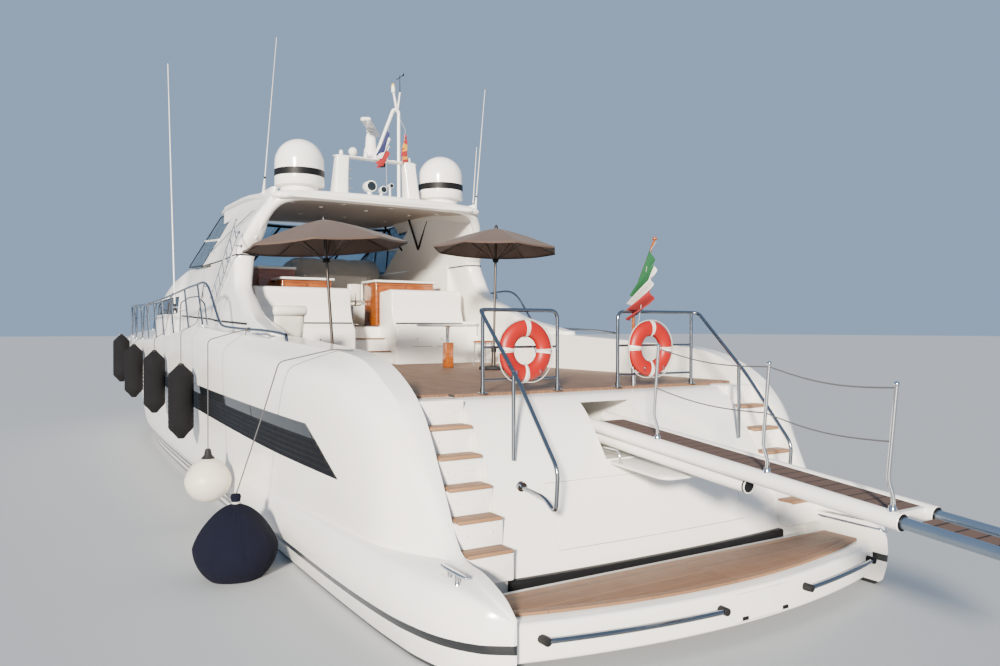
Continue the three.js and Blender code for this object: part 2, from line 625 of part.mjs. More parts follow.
const SIDE_GLASS = [
  // x, z
  [390, 3830], [2240, 3960], [2230, 4020], [-180, 4830], [-1630, 4830], [-755, 4405], [-425, 4257], [390, 3914],
];
const GLASS = { y: 2040, lean: 0.26, taper: 0.02 };

function makeSideGlass(deckhouse) {
  const house = deckhouse.translate([0, 0, FIT]);
  const ring = (off) => SIDE_GLASS.map(([x, z]) =>
    [x, GLASS.y + off - (z - SILL_Z) * GLASS.lean - Math.max(x, 0) * GLASS.taper, z]);
  const pane = loft([ring(0), ring(10)]);
  for (const [name, side] of SIDES) {
    addNode(`side_glass_${name}`, upper(mirrored(pane, side).subtract(house)), blueGlass);
  }
}

// Moulded units on the aft deck that form the step up to the raised cockpit
const PASSAGE = { y0: -500, y1: 270 };
const CABINET_AFT = -3660;
const STEP_AFT = -3430;

function makeCockpitUnits() {
  const floor = DECK_Z - TEAK + FIT;
  const fore = BULKHEAD_X - FIT;
  const profile = [[fore, floor], [fore, 3290], [-3340, 3320], [-3430, 3280], [-3430, 3010],
    [-3520, 2720], [CABINET_AFT, 2620], [CABINET_AFT, floor]];
  const tread = (SOLE_Z - DECK_Z) / 3;
  const steps = [[fore, floor], [fore, DECK_Z + 2 * tread], [STEP_AFT + 290, DECK_Z + 2 * tread],
    [STEP_AFT + 290, DECK_Z + tread], [STEP_AFT, DECK_Z + tread], [STEP_AFT, floor]];
  const reach = WELL_HALF - 5;
  addNode('cockpit_moulding', union([
    sidePlate(profile, PASSAGE.y1, COCKPIT.half),
    sidePlate(profile, -COCKPIT.half, PASSAGE.y0),
    sidePlate(steps, PASSAGE.y0 - 1, PASSAGE.y1 + 1),
    ...SIDES.flatMap(([, side]) => [[reach, 2480], [reach - 45, 2740]].map(([out, top]) =>
      mirrored(box(CABINET_AFT, fore, COCKPIT.half - 30, out, floor, top), side))),
  ]), white);
}

function makeCompanionDoor() {
  addNode('companion_door', box(COCKPIT.fore + 1, COCKPIT.fore + 36, COMPANION.y0 + 6,
    COMPANION.y1 - 6, SOLE_Z + 46, COMPANION.top - 6), wood);
}

const BARS = { port: [360, 1340], starboard: [-1700, -420] };

function makeBars() {
  for (const [name] of SIDES) {
    const [y0, y1] = BARS[name];
    const parts = [box(-2780, -2200, y0 + 40, y1 - 40, SOLE_Z + FIT, 3481),
      box(-2840, -2140, y0, y1, 3480, 3520)];
    if (name === 'port') {
      parts.push(box(-2230, -1000, 900, 1560, SOLE_Z + FIT, 3700), box(-2135, -960, 870, 1590, 3699, 3745));
    }
    addNode(`bar_${name}`, union(parts), wood);
  }
}

function makeHelm() {
  const console = [[250, SOLE_Z + FIT], [180, 3500], [220, 3930], [430, 4190], [900, 4160],
    [COCKPIT.fore - 5, 3940], [COCKPIT.fore - 5, SOLE_Z + FIT]];
  addNode('helm_console', sidePlate(console, -1820, 170), grey);
  const seat = [[-760, SOLE_Z + FIT], [-760, 3750], [-640, 3750], [-600, 3330], [-60, 3300],
    [-60, 3130], [-300, 3080], [-300, SOLE_Z + FIT]];
  addNode('helm_seat', sidePlate(seat, -1200, 300), fabric);
  const [x, y] = [-1820, -350];
  const stool = union([rod([x, y, SOLE_Z + FIT], [x, y, SOLE_Z + 30], 190, 16),
    rod([x, y, SOLE_Z + 20], [x, y, 3080], 30, 12), box(x - 180, x + 180, y - 170, y + 170, 3060, 3140),
    box(x - 200, x - 150, y - 160, y + 160, 3130, 3490)]);
  addNode('bar_stool', stool, fabric);
}

const TABLE = { x: -5150, y: -750, top: 2685 };

function makeTable() {
  const top = [];
  const [halfX, halfY, round] = [330, 500, 0.55];
  for (let k = 0; k < 24; k += 1) {
    const turn = (2 * Math.PI * k) / 24;
    const [c, s] = [Math.cos(turn), Math.sin(turn)];
    top.push([TABLE.x + halfX * Math.sign(c) * Math.abs(c) ** round,
      TABLE.y + halfY * Math.sign(s) * Math.abs(s) ** round]);
  }
  const { x, y, top: z } = TABLE;
  const table = union([planPlate(top, z - 45, z), rod([x, y, 2300], [x, y, z - 40], 35, 12),
    box(x - 70, x + 70, y - 60, y + 60, DECK_Z + FIT, 2310)]);
  addNode('deck_table', table, white);
}

const PARASOLS = [
  // name, x and y of the foot, x and y of the apex, rimZ, apexZ
  ['port', -7350, 1950, -7290, 2070, 3620, 3945], ['starboard', -6100, -1050, -6050, -1130, 3850, 4180],
];
const CANOPY_R = 1010;

function makeParasols() {
  for (const [name, x, y, apexX, apexY, rimZ, apexZ] of PARASOLS) {
    const foot = DECK_Z + FIT;
    const degrees = 180 / Math.PI;
    const tilt = [-Math.atan2(apexY - y, apexZ - foot) * degrees,
      Math.atan2(apexX - x, apexZ - foot) * degrees, 0];
    const at = (z) => [x + ((apexX - x) * (z - foot)) / (apexZ - foot),
      y + ((apexY - y) * (z - foot)) / (apexZ - foot), z];
    const pole = union([rod([x, y, foot], [x, y, foot + 60], 230, 16),
      rod(at(foot + 40), at(foot + 300), 34, 8), rod(at(foot + 290), at(apexZ - 34), 19, 8)]);
    addNode(`parasol_pole_${name}`, pole, grey);
    const drop = rimZ - apexZ;
    const profile = [[0, -24], [CANOPY_R * 0.5, drop * 0.4 - 24], [CANOPY_R, drop - 12], [CANOPY_R, drop],
      [CANOPY_R * 0.5, drop * 0.4], [0, 0]];
    const canopy = turned(0, 0, profile, 8).rotate(tilt).translate([apexX, apexY, apexZ]);
    addNode(`parasol_canopy_${name}`, canopy, taupe);
  }
}

const DOME = { x: -3800, y: 1300, radius: 400 };

function makeDomes(hardtop) {
  for (const [name, side] of SIDES) {
    const { radius: r } = DOME;
    const profile = [[0, 4700], [300, 4700], [310, 4918], [r - 10, 4932], [r, 4955], [r, 5325]];
    for (let k = 1; k < 4; k += 1) {
      const turn = (k * Math.PI) / 8;
      profile.push([r * Math.cos(turn), 5325 + r * Math.sin(turn)]);
    }
    profile.push([0, 5325 + r]);
    const dome = turned(DOME.x, side * DOME.y, profile, 18).subtract(hardtop.translate([0, 0, FIT]));
    addNode(`dome_${name}`, upper(dome), white);
  }
}

const largest = (shape) => shape.decompose().sort((a, b) => b.volume() - a.volume())[0];

// The highest of the bodies of a cut solid
const upper = (shape) => shape.decompose().sort((a, b) => b.boundingBox().max[2] - a.boundingBox().max[2])[0];

const MAST = { x: -3900, z: 5480 };
const MAST_LEG = [
  // z, inner y, outer y, half depth
  [4700, 540, 780, 150], [5250, 520, 740, 110], [MAST.z + 40, 500, 720, 85],
];

function makeMast(hardtop) {
  const parts = [box(MAST.x - 90, MAST.x + 90, -750, 750, MAST.z, MAST.z + 45)];
  for (const [, side] of SIDES) {
    const leg = loft(MAST_LEG.map(([z, y0, y1, deep]) => [[MAST.x - deep, y0, z], [MAST.x + deep, y0, z],
      [MAST.x + deep, y1, z], [MAST.x - deep, y1, z]]));
    parts.push(mirrored(leg, side));
  }
  const { x } = MAST;
  const { y } = RADAR;
  parts.push(sidePlate([[x - 90, 5485], [x - 90, 5525], [-3300, 5740], [-2960, 5740], [-2960, 5690],
    [-3290, 5690], [x + 90, 5482]], y - 110, y + 110));
  parts.push(rod([RADAR.x, y, 5730], [RADAR.x, y, 5900], 125, 14, 110));
  parts.push(rod([RADAR.x, y, 5890], [RADAR.x, y, RADAR.z], 105, 14, 70));
  parts.push(bentBar([[x, 30, MAST.z + 20], [x, -330, 6430], [x, -430, 6410], [x, -430, 4900]], 28, 90, 8));
  parts.push(rod([x, -400, 6390], [x, -330, 6740], 26, 8));
  parts.push(rod([x, -405, 6390], [x, -455, 6740], 20, 8));
  parts.push(rod([x, -455, 6730], [x, -450, 7050], 9, 6));
  addNode('mast', upper(union(parts).subtract(hardtop.translate([0, 0, FIT]))), white);
}

const RADAR = { x: -3100, y: -234, z: 6180, half: 620, heading: -31 };

function makeRadarScanner() {
  const { x, y, z, half, heading } = RADAR;
  const bar = box(-half, half, -95, 95, 55, 135).add(rod([0, 0, 5], [0, 0, 60], 85, 16));
  addNode('radar_scanner', bar.rotate([0, 0, heading]).translate([x, y, z]), white);
}

const WHIPS = [
  // foot, head
  [[-3645, 1850, 4780], [-4795, 1950, 6964]],
  [[-4230, -1780, 4730], [-4546, -1800, 6834]],
  [[-4130, -1780, 4730], [-4246, -1800, 5877]],
];

const makeWhips = () => WHIPS.flatMap(([foot, head]) => {
  const base = foot.map((v, i) => v + (head[i] - v) * 0.12);
  return [rod(foot, base, 26, 10), rod(base, head, 11, 8)];
});

// Top tube and stanchions round the side decks and the bow
const GUARD = [
  // x, inset from the ridge, height over the ridge
  [-7340, 40, -60], [-7260, 45, 75], [-5000, 50, 75], [-4680, 60, 130], [-3950, 70, 650],
  [-3100, 80, 700], [-1000, 90, 760], [1200, 90, 780], [3400, 90, 780],
  [5600, 80, 790], [7600, 70, 800], [9200, 60, 800], [10400, 50, 800], [11150, 60, 790],
];
const TALL_POLE = [[-1180, 2815, 2870], [-420, 2815, 7670]];
const STANCHIONS = [-3250, -2150, -700, 400, 1400, 2500, 3500, 4900, 6000, 7000, 8000, 8900, 9800,
  10600];

function guardAt(x) {
  const i = Math.max(GUARD.findIndex((row) => row[0] >= x), 1);
  const t = (x - GUARD[i - 1][0]) / (GUARD[i][0] - GUARD[i - 1][0]);
  const [inset, high] = [1, 2].map((c) => GUARD[i - 1][c] + (GUARD[i][c] - GUARD[i - 1][c]) * t);
  const ridge = ridgeAt(x);
  return new THREE.Vector3(x, ridge.y - inset, ridge.z + high);
}

function makeGuardRail() {
  const port = GUARD.map(([x]) => guardAt(x));
  const nose = new THREE.Vector3(11480, 0, port[port.length - 1].z + 10);
  const starboard = port.slice().reverse().map((p) => new THREE.Vector3(p.x, -p.y, p.z));
  const route = new THREE.CatmullRomCurve3([...port, nose, ...starboard], false, 'centripetal');
  const parts = [sweep(route.getPoints(64), RAIL_R, 6)];
  for (const x of STANCHIONS) {
    const head = guardAt(x);
    const ridge = ridgeAt(x - 130);
    for (const [, side] of SIDES) {
      parts.push(rod([x - 130, side * (ridge.y - 60), ridge.z - 60], [head.x, side * head.y, head.z], 13, 6));
    }
  }
  parts.push(rod(...TALL_POLE, 13, 8, 7));
  const rail = union(parts).subtract(hullBlock(FIT));
  addNode('guard_rail', largest(rail), steel);
}

const RAIL_X = -10000;

function makeAftRails() {
  const ends = { port: [500, 1390], starboard: [-300, -1390] };
  for (const [name, side] of SIDES) {
    const [inner, outer] = ends[name];
    const y = side * 1450;
    const foot = DECK_Z + FIT;
    const parts = [
      bentBar([[-11150, y, 1230], [-11330, y, 1060], [-11350, y, 1430], [-10750, y, 2130], [-10060, y, 2780],
        [RAIL_X, outer, 2790], [RAIL_X, inner, 2790], [RAIL_X, inner, foot]], RAIL_R, 80),
      rod([RAIL_X, outer, foot], [RAIL_X, outer, 2790], RAIL_R, 8),
      rod([RAIL_X, inner, 2420], [RAIL_X, outer, 2420], 12, 8),
      rod([RAIL_X, inner, 2100], [RAIL_X, outer, 2100], 12, 8),
      rod([-10660, y, transomZ(-10660, y) - 60], [-10660, y, 2225], RAIL_R, 8),
      rod([-11150, y, 1230], [-11010, y, 1000], RAIL_R, 8),
    ];
    const rail = union(parts).subtract(aftBody(FIT));
    addNode(`aft_rail_${name}`, largest(rail), steel);
  }
}

// The hull's stern under the transom's face, grown by a gap
const aftBody = (gap) => box(-12000, -10000, -WELL_HALF, WELL_HALF, 200, DECK_Z - TEAK)
  .subtract(sternSpace(gap, WELL_HALF + 1, 4000));

const BUOYS = [
  // name, y
  ['port', 950], ['starboard', -690],
];

function makeBuoys() {
  for (const [name, y] of BUOYS) {
    const ring = new THREE.TorusGeometry(245, 62, 8, 22);
    ring.rotateY(Math.PI / 2);
    ring.translate(RAIL_X - RAIL_R - 66, y, 2385);
    addNode(`lifebuoy_${name}`, solid(ring), orange);
  }
}

function makeEnsign() {
  const head = [-10250, -600, 3560];
  addNode('ensign_staff', union([rod([-9955, -560, DECK_Z + FIT], [-9955, -560, DECK_Z + 980], 17),
    rod([-9955, -560, DECK_Z + 960], head, 14), rod(head, [-10260, -602, 3590], 28)]), wood);
  const cloth = [[-10195, 3420], [-10250, 3540], [-10560, 3200], [-10500, 2960], [-10330, 2840],
    [-10110, 2960]];
  addNode('ensign', sidePlate(cloth, -560, -548), white);
}

const TUBE = { off: 198, radius: 62, bore: 48, boreFore: -11700 };
const GANGWAY_POSTS = [-11280, -12520, -13560];
const EXTENSION = { reach: 1850, rod: 41, inside: 260, treadHalf: 128 };

// Turns a gangway piece, drawn level, to its slope about the pivot
function sloped(shape) {
  const { pivotX, z, slope } = GANGWAY;
  return shape.translate([-pivotX, 0, -z]).rotate([0, -slope, 0]).translate([pivotX, 0, z]);
}

function makeGangway() {
  const { y, half, pivotX, z, tipX } = GANGWAY;
  const parts = [
    rod([pivotX, y - half - 52, z - 40], [pivotX, y + half + 52, z - 40], 24, 12),
    box(tipX + 60, pivotX - 300, y - TUBE.off, y + TUBE.off, z + 10, z + 48),
    box(-12250, pivotX + 40, y - TUBE.off, y + TUBE.off, z - 130, z - 30),
    box(pivotX - 320, pivotX - 280, y - TUBE.off, y + TUBE.off, z - 40, z + 20),
    rod([-12300, y + TUBE.off - 70, z - 120], [-10250, y + TUBE.off - 70, z - 120], 62, 12),
  ];
  for (const side of [-1, 1]) {
    const tubeY = y + side * TUBE.off;
    parts.push(rod([pivotX + 80, tubeY, z], [tipX, tubeY, z], TUBE.radius, 12));
  }
  for (const x of GANGWAY_POSTS) {
    const outboard = y + TUBE.off + 30;
    parts.push(bentBar([[x, y + TUBE.off, z + 40], [x, y + TUBE.off, z + 160],
      [x + 30, outboard, z + 260], [x + 30, outboard, z + 900]], 15, 40, 6));
  }
  let body = union(parts);
  for (const side of [-1, 1]) {
    const tubeY = y + side * TUBE.off;
    body = body.subtract(rod([tipX - 10, tubeY, z], [TUBE.boreFore, tubeY, z], TUBE.bore, 12));
  }
  addNode('gangway', sloped(body), white);
}

function makeGangwayExtension() {
  const { y, z, tipX } = GANGWAY;
  const end = tipX - EXTENSION.reach;
  const parts = [-1, 1].map((side) => {
    const rodY = y + side * TUBE.off;
    return rod([tipX + EXTENSION.inside, rodY, z], [end, rodY, z], EXTENSION.rod, 12);
  });
  parts.push(box(end + 10, tipX - 40, y - EXTENSION.treadHalf, y + EXTENSION.treadHalf, z - 22, z + 3));
  parts.push(rod([end, y - TUBE.off - 30, z - 20], [end, y + TUBE.off + 30, z - 20], 60, 12));
  addNode('gangway_extension', sloped(union(parts)), steel);
}

// Flap that closes the gangway's recess, hanging open under the gangway on a bent arm
function makeGangwayFlap() {
  const fore = -10712;
  const plate = [[fore, 1307], [fore, 1335], [fore - 790, 1290], [fore - 790, 1262]];
  const armY = GANGWAY.y + RECESS.half - 25;
  const arm = bentBar([[fore - 170, armY, 1310], [fore - 150, armY, 1450], [fore + 120, armY, 1450],
    [fore + 150, armY, RECESS.low + FIT]], 9, 50, 8);
  const flap = sidePlate(plate, GANGWAY.y - 300, GANGWAY.y + 305);
  addNode('gangway_flap', flap.add(arm).subtract(aftBody(FIT)), white);
}

const FENDERS = [
  // name, x, z of the middle
  ['1', 4400, 1900], ['2', 2000, 1700], ['3', -1050, 1640], ['4', -3840, 1500],
];
const FENDER = { radius: 185, length: 900, cone: 130 };
const LANYARD_R = 7;
const BALLS = [
  // name, x, y, z, radius, material, taper, rope
  ['ball_fender_white', -5970, 3170, 650, 290, white, 0.15, (x, y, z) => lanyard(x, y, z)],
  ['ball_fender_navy', -8130, 3310, 330, 430, navy, 0.3, (x, y, z) => mooredLanyard(x, y, z, -9050)],
];

// Rope from a fender's eye over the deck edge to the rail that it is tied to
function lanyard(x, y, eyeZ) {
  const ridge = ridgeAt(x);
  const rail = guardAt(x);
  return bentBar([[x, y, eyeZ - 40], [x, y, ridge.z - 60], [x, ridge.y + 60, ridge.z + 60],
    [x, rail.y + RAIL_R + LANYARD_R + 2, rail.z]], LANYARD_R, 60, 6);
}

// Rope from the aft ball fender to the bulwark's top further aft
function mooredLanyard(x, y, eyeZ, endX) {
  const ridge = ridgeAt(endX);
  return bentBar([[x, y, eyeZ - 40], [x - 120, 3060, 1700], [x - 380, 2960, 2260],
    [endX + 150, ridge.y + 60, ridge.z + 30], [endX, ridge.y - 90, ridge.z + 20]], LANYARD_R, 60, 6);
}

function makeFenders() {
  for (const [name, x, z] of FENDERS) {
    const y = 3150;
    const { radius: r, length, cone } = FENDER;
    const low = z - length / 2;
    const high = z + length / 2;
    const body = turned(x, y, [[0, low - cone], [50, low - cone + 10], [r * 0.75, low - 20], [r, low + 50],
      [r, high - 50], [r * 0.75, high + 20], [50, high + cone - 10], [0, high + cone]], 14);
    addNode(`fender_${name}`, union([body, lanyard(x, y, high + cone)]), black);
  }
  for (const [name, x, y, z, r, material, taper, rope] of BALLS) {
    const profile = [];
    for (let k = 0; k <= 10; k += 1) {
      const turn = -Math.PI / 2 + (k * Math.PI) / 10;
      const up = Math.sin(turn);
      profile.push([k % 10 === 0 ? 0 : r * Math.cos(turn) * (up > 0 ? 1 - taper * up : 1), z + r * up]);
    }
    addNode(name, union([turned(x, y, profile, 16), rod([x, y, z + r * 0.9], [x, y, z + r + 110], 45, 10, 30),
      rope(x, y, z + r + 130)]), material);
  }
}

const SHAFT_RISE = 0.19;
const SHAFT_R = 34;
const BORE_R = 41;
const onShaft = (x, y) => [x, y, PROP_Z + (x - PROP_X) * SHAFT_RISE];

// Shaft brackets and shaft logs, bored for the shafts
function addCarriers(hull) {
  let body = hull;
  for (const [, side] of SIDES) {
    const y = side * PROP_Y;
    const ring = PROP_X + 300;
    body = union([body,
      rod(onShaft(PROP_X + 170, y), onShaft(PROP_X + 420, y), 66, 16),
      rod(onShaft(ring, y - side * 20), [ring + 80, y - side * 330, -480], 24, 10),
      rod(onShaft(ring, y + side * 20), [ring + 80, y + side * 330, -300], 24, 10),
      rod(onShaft(SHAFT_FORE_X - 520, y), onShaft(SHAFT_FORE_X + 300, y), 75, 16)]);
    body = body.subtract(rod(onShaft(PROP_X, y), onShaft(SHAFT_FORE_X + 40, y), BORE_R, 16));
  }
  return body;
}

const BLADE = [
  // radius, half chord, thickness
  [60, 70, 50], [180, 150, 34], [300, 185, 20], [390, 130, 10], [420, 50, 6],
];
const PITCH = 520;

function propellerBlade(side) {
  return loft(BLADE.map(([r, chord, thick]) => {
    const twist = Math.atan2(PITCH, 2 * Math.PI * r);
    const ring = [];
    for (let n = 0; n < 8; n += 1) {
      const turn = (2 * Math.PI * n) / 8;
      const [u, v] = [chord * Math.cos(turn), (thick / 2) * Math.sin(turn)];
      ring.push([u * Math.sin(twist) - v * Math.cos(twist),
        side * (u * Math.cos(twist) + v * Math.sin(twist)), r]);
    }
    return ring;
  }));
}

const RUDDER = [
  // z, chord, thickness
  [-1420, 430, 30], [-1000, 560, 60], [-700, 600, 70],
];
const FOIL = [[-0.62, 0], [-0.3, 0.5], [0.1, 0.5], [0.38, 0.2], [0.38, -0.2], [0.1, -0.5], [-0.3, -0.5]];

function makeDrive() {
  const tilt = (-Math.atan(SHAFT_RISE) * 180) / Math.PI;
  for (const [name, side] of SIDES) {
    const y = side * PROP_Y;
    const parts = [rod(onShaft(PROP_X - 160, y), onShaft(PROP_X + 130, y), 70, 18, 85),
      rod(onShaft(PROP_X + 100, y), onShaft(SHAFT_FORE_X, y), SHAFT_R, 12)];
    for (let k = 0; k < 4; k += 1) {
      const blade = propellerBlade(side).rotate([k * 90, 0, 0]).rotate([0, tilt, 0]);
      parts.push(blade.translate(onShaft(PROP_X, y)));
    }
    addNode(`propeller_${name}`, union(parts), bronze);
    const blade = loft(RUDDER.map(([z, chord, thick]) =>
      FOIL.map(([u, v]) => [RUDDER_X + chord * u, y + thick * v, z])));
    addNode(`rudder_${name}`, blade.add(rod([RUDDER_X, y, -720], [RUDDER_X, y, -320], 32, 14)), bronze);
  }
}

// Engines inside the hull are closed in and left out; the ground tackle on the bow shows
function makeBowGear() {
  const roller = union([box(11250, 11690, -82, 82, 2780, 2880), box(11250, 11700, -82, -64, 2780, 2980),
    box(11250, 11700, 64, 82, 2780, 2980)]);
  const shank = [[11280, 2870], [11730, 2870], [11960, 2520], [12010, 2540], [11760, 2920], [11280, 2920]];
  const fluke = loft([[11990, 25, 2535], [11850, 200, 2360], [11660, 60, 2280]].map(([x, y, z]) => [
    [x, -y, z - 15], [x, y, z - 15], [x, y, z + 15], [x, -y, z + 15]]));
  addNode('bow_anchor', union([roller, sidePlate(shank, -22, 22), fluke]).subtract(hullBlock(FIT)), steel);
  const windlass = union([rod([10400, 0, 2600], [10400, 0, 2860], 110, 18),
    rod([10400, 0, 2850], [10400, 0, 2960], 70, 16),
    box(10280, 10640, -130, 130, 2600, 2760)]).subtract(hullBlock(FIT));
  addNode('windlass', upper(windlass), steel);
}

const QUARTER_CLEAT = { x: -11400, y: 2450, z: 690 };

function makeCleats() {
  for (const [name, side] of SIDES) {
    const { x, y, z } = QUARTER_CLEAT;
    const cleat = union([rod([x - 60, side * y, z - 60], [x - 60, side * y, z + 75], 20, 10),
      rod([x + 60, side * y, z - 60], [x + 60, side * y, z + 75], 20, 10),
      rod([x - 190, side * y, z + 72], [x + 190, side * y, z + 72], 20, 10)]).subtract(hullBlock(FIT));
    addNode(`quarter_cleat_${name}`, upper(cleat), steel);
  }
}

// Black louvred intake along each side of the hull
const INTAKE = [
  // x at the top and at the bottom, z of the top and of the bottom
  [-8850, -9620, 1650, 1200], [-8020, -8020, 1666, 1228], [-3500, -3500, 1753, 1367], [1900, 1900, 1870, 1680],
];
const LOUVRES = { count: 5, first: 0.4, pitch: 0.135, half: 0.036, out: 24 };

// Outline between two shares of the intake's height, from its top
function intakeBand(from, to) {
  const edge = (share) => INTAKE.map(([topX, lowX, topZ, lowZ]) =>
    [topX + (lowX - topX) * share, topZ + (lowZ - topZ) * share]);
  return [...edge(from), ...edge(to).reverse()];
}

function makeIntakes() {
  const skin = (off) => loft(smoothRows(HULL, 2).map(hullRing).map((ring) =>
    ring.map(([x, y, z]) => [x, y + Math.sign(y) * off, z])));
  const bare = skin(FIT);
  const plate = skin(9).subtract(bare).intersect(sidePlate(intakeBand(0, 1), 1500, 4000));
  const proud = skin(LOUVRES.out).subtract(bare);
  const ribs = [];
  for (let k = 0; k < LOUVRES.count; k += 1) {
    const middle = LOUVRES.first + LOUVRES.pitch * k;
    ribs.push(proud.intersect(sidePlate(intakeBand(middle - LOUVRES.half, middle + LOUVRES.half), 1500, 4000)));
  }
  const intake = union([plate, ...ribs]).simplify(0.2);
  for (const [name, side] of SIDES) addNode(`intake_${name}`, mirrored(intake, side), black);
}

const hull = makeHull();
addNode('hull', hull, white);
makeStairs();
makePlatform();
makeAftDeck();
makeGarageDoor();
const deckhouse = makeDeckhouse();
makeSaloonWindows();
const hardtop = hardtopBody();
addNode('hardtop', union([hardtop, ...makeWhips(), ...makeRoofGear()]), white);
makeArches(deckhouse, hardtop);
makeWindscreen(deckhouse);
makeSideGlass(deckhouse);
makeCockpitUnits();
makeBars();
makeHelm();
makeCompanionDoor();
makeTable();
makeParasols();
makeDomes(hardtop);
makeMast(hardtop);
makeRadarScanner();
makeGuardRail();
makeAftRails();
makeBuoys();
makeEnsign();
makeGangway();
makeGangwayExtension();
makeGangwayFlap();
makeFenders();
makeDrive();
makeBowGear();
makeCleats();
makeIntakes();

export default group;
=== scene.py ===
# Looks of a 24 m open motor yacht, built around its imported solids.
# Metres, +X towards the bow, +Y to port, +Z up. The waterline is z = 0.

from math import copysign, cos, exp, hypot, pi, radians, sin, tau

import bmesh
import bpy
from mathutils import Matrix, Vector


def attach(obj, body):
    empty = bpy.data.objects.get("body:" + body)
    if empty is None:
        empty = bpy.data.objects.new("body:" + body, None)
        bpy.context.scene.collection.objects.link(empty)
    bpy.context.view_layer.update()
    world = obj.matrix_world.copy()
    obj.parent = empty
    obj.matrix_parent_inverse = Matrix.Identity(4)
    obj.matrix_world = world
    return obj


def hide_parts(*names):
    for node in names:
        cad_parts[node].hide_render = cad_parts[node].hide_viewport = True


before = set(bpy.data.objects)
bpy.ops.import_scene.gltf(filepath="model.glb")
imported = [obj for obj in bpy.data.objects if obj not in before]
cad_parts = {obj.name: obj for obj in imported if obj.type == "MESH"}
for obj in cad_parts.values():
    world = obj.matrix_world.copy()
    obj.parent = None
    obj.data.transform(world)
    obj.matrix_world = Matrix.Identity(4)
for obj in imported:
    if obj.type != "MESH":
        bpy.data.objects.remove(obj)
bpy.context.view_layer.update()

YACHT = "yacht"
SIDES = (("port", 1), ("starboard", -1))

# Driving sizes, as in the solids
FIT = 0.0003
DECK_Z = 1.97
TEAK = 0.025
WELL_HALF = 2.2
BULKHEAD_X = -2.85
COCKPIT_FORE = 2.25
COCKPIT_HALF = 1.93
SOLE_Z = 2.66
DECK_AFT = -10.0
CABINET_AFT = -3.66
STEP_AFT = -3.43
PASSAGE = (-0.5, 0.27)
COMPANION = (0.7, 1.35, 3.56)
PLATFORM_Z = 0.45
PLATFORM_THICK = 0.305
PLATFORM_AFT = -12.09
PLATFORM_BOW = 0.32
TRANSOM_FOOT = -11.05
HATCH = {"y0": -0.52, "y1": 0.14, "low": 0.155, "high": 0.385}
STAIR_IN = 1.72
STAIR_RISE = 0.24
STAIR_GOING = 0.175
STEPS = 5
NOSING = 0.035
SILL_Z = 3.85
ROOF_LIP_Z = 4.655
WHIPS = (
    # foot, head
    ((-3.645, 1.85, 4.78), (-4.795, 1.95, 6.964)),
    ((-4.23, -1.78, 4.73), (-4.546, -1.8, 6.834)),
    ((-4.13, -1.78, 4.73), (-4.246, -1.8, 5.877)),
)
ROOF_GEAR_X = -4.0
ROOF_GEAR = (
    # y, height, post, length, radius aft and fore
    (0.15, 0.15, 0.042, 0.18, 0.095, 0.095),
    (-0.06, 0.105, 0.026, 0.23, 0.062, 0.032),
    (-0.22, 0.19, 0.02, 0.15, 0.042, 0.026),
)
RAIL_R = 0.019
RAIL_X = -10.0
GANGWAY_Y = 0.1
PROP_X, PROP_Y, PROP_Z = -9.1, 1.15, -1.08
SHAFT_FORE_X, SHAFT_RISE = -6.3, 0.19

# Camera, solved from the photograph
CAMERA_AT = (-16.7, 5.25, 2.6)
HEADING = radians(-31.2)
DIP = radians(0.29)
FOCAL_PX = 793
FRAME_PX = 1000
SENSOR = 36


def link(obj):
    bpy.context.collection.objects.link(obj)


def aim(obj, heading, dip):
    """Links the object and turns it to look along a heading, down by an angle."""
    ahead = Vector((cos(heading) * cos(dip), sin(heading) * cos(dip), -sin(dip)))
    obj.rotation_mode = "QUATERNION"
    obj.rotation_quaternion = ahead.to_track_quat("-Z", "Y")
    link(obj)


def make_camera():
    data = bpy.data.cameras.new("camera")
    data.sensor_width = SENSOR
    data.lens = FOCAL_PX / FRAME_PX * SENSOR
    data.clip_end = 600
    camera = bpy.data.objects.new("camera", data)
    camera.location = CAMERA_AT
    aim(camera, HEADING, DIP)
    bpy.context.scene.camera = camera


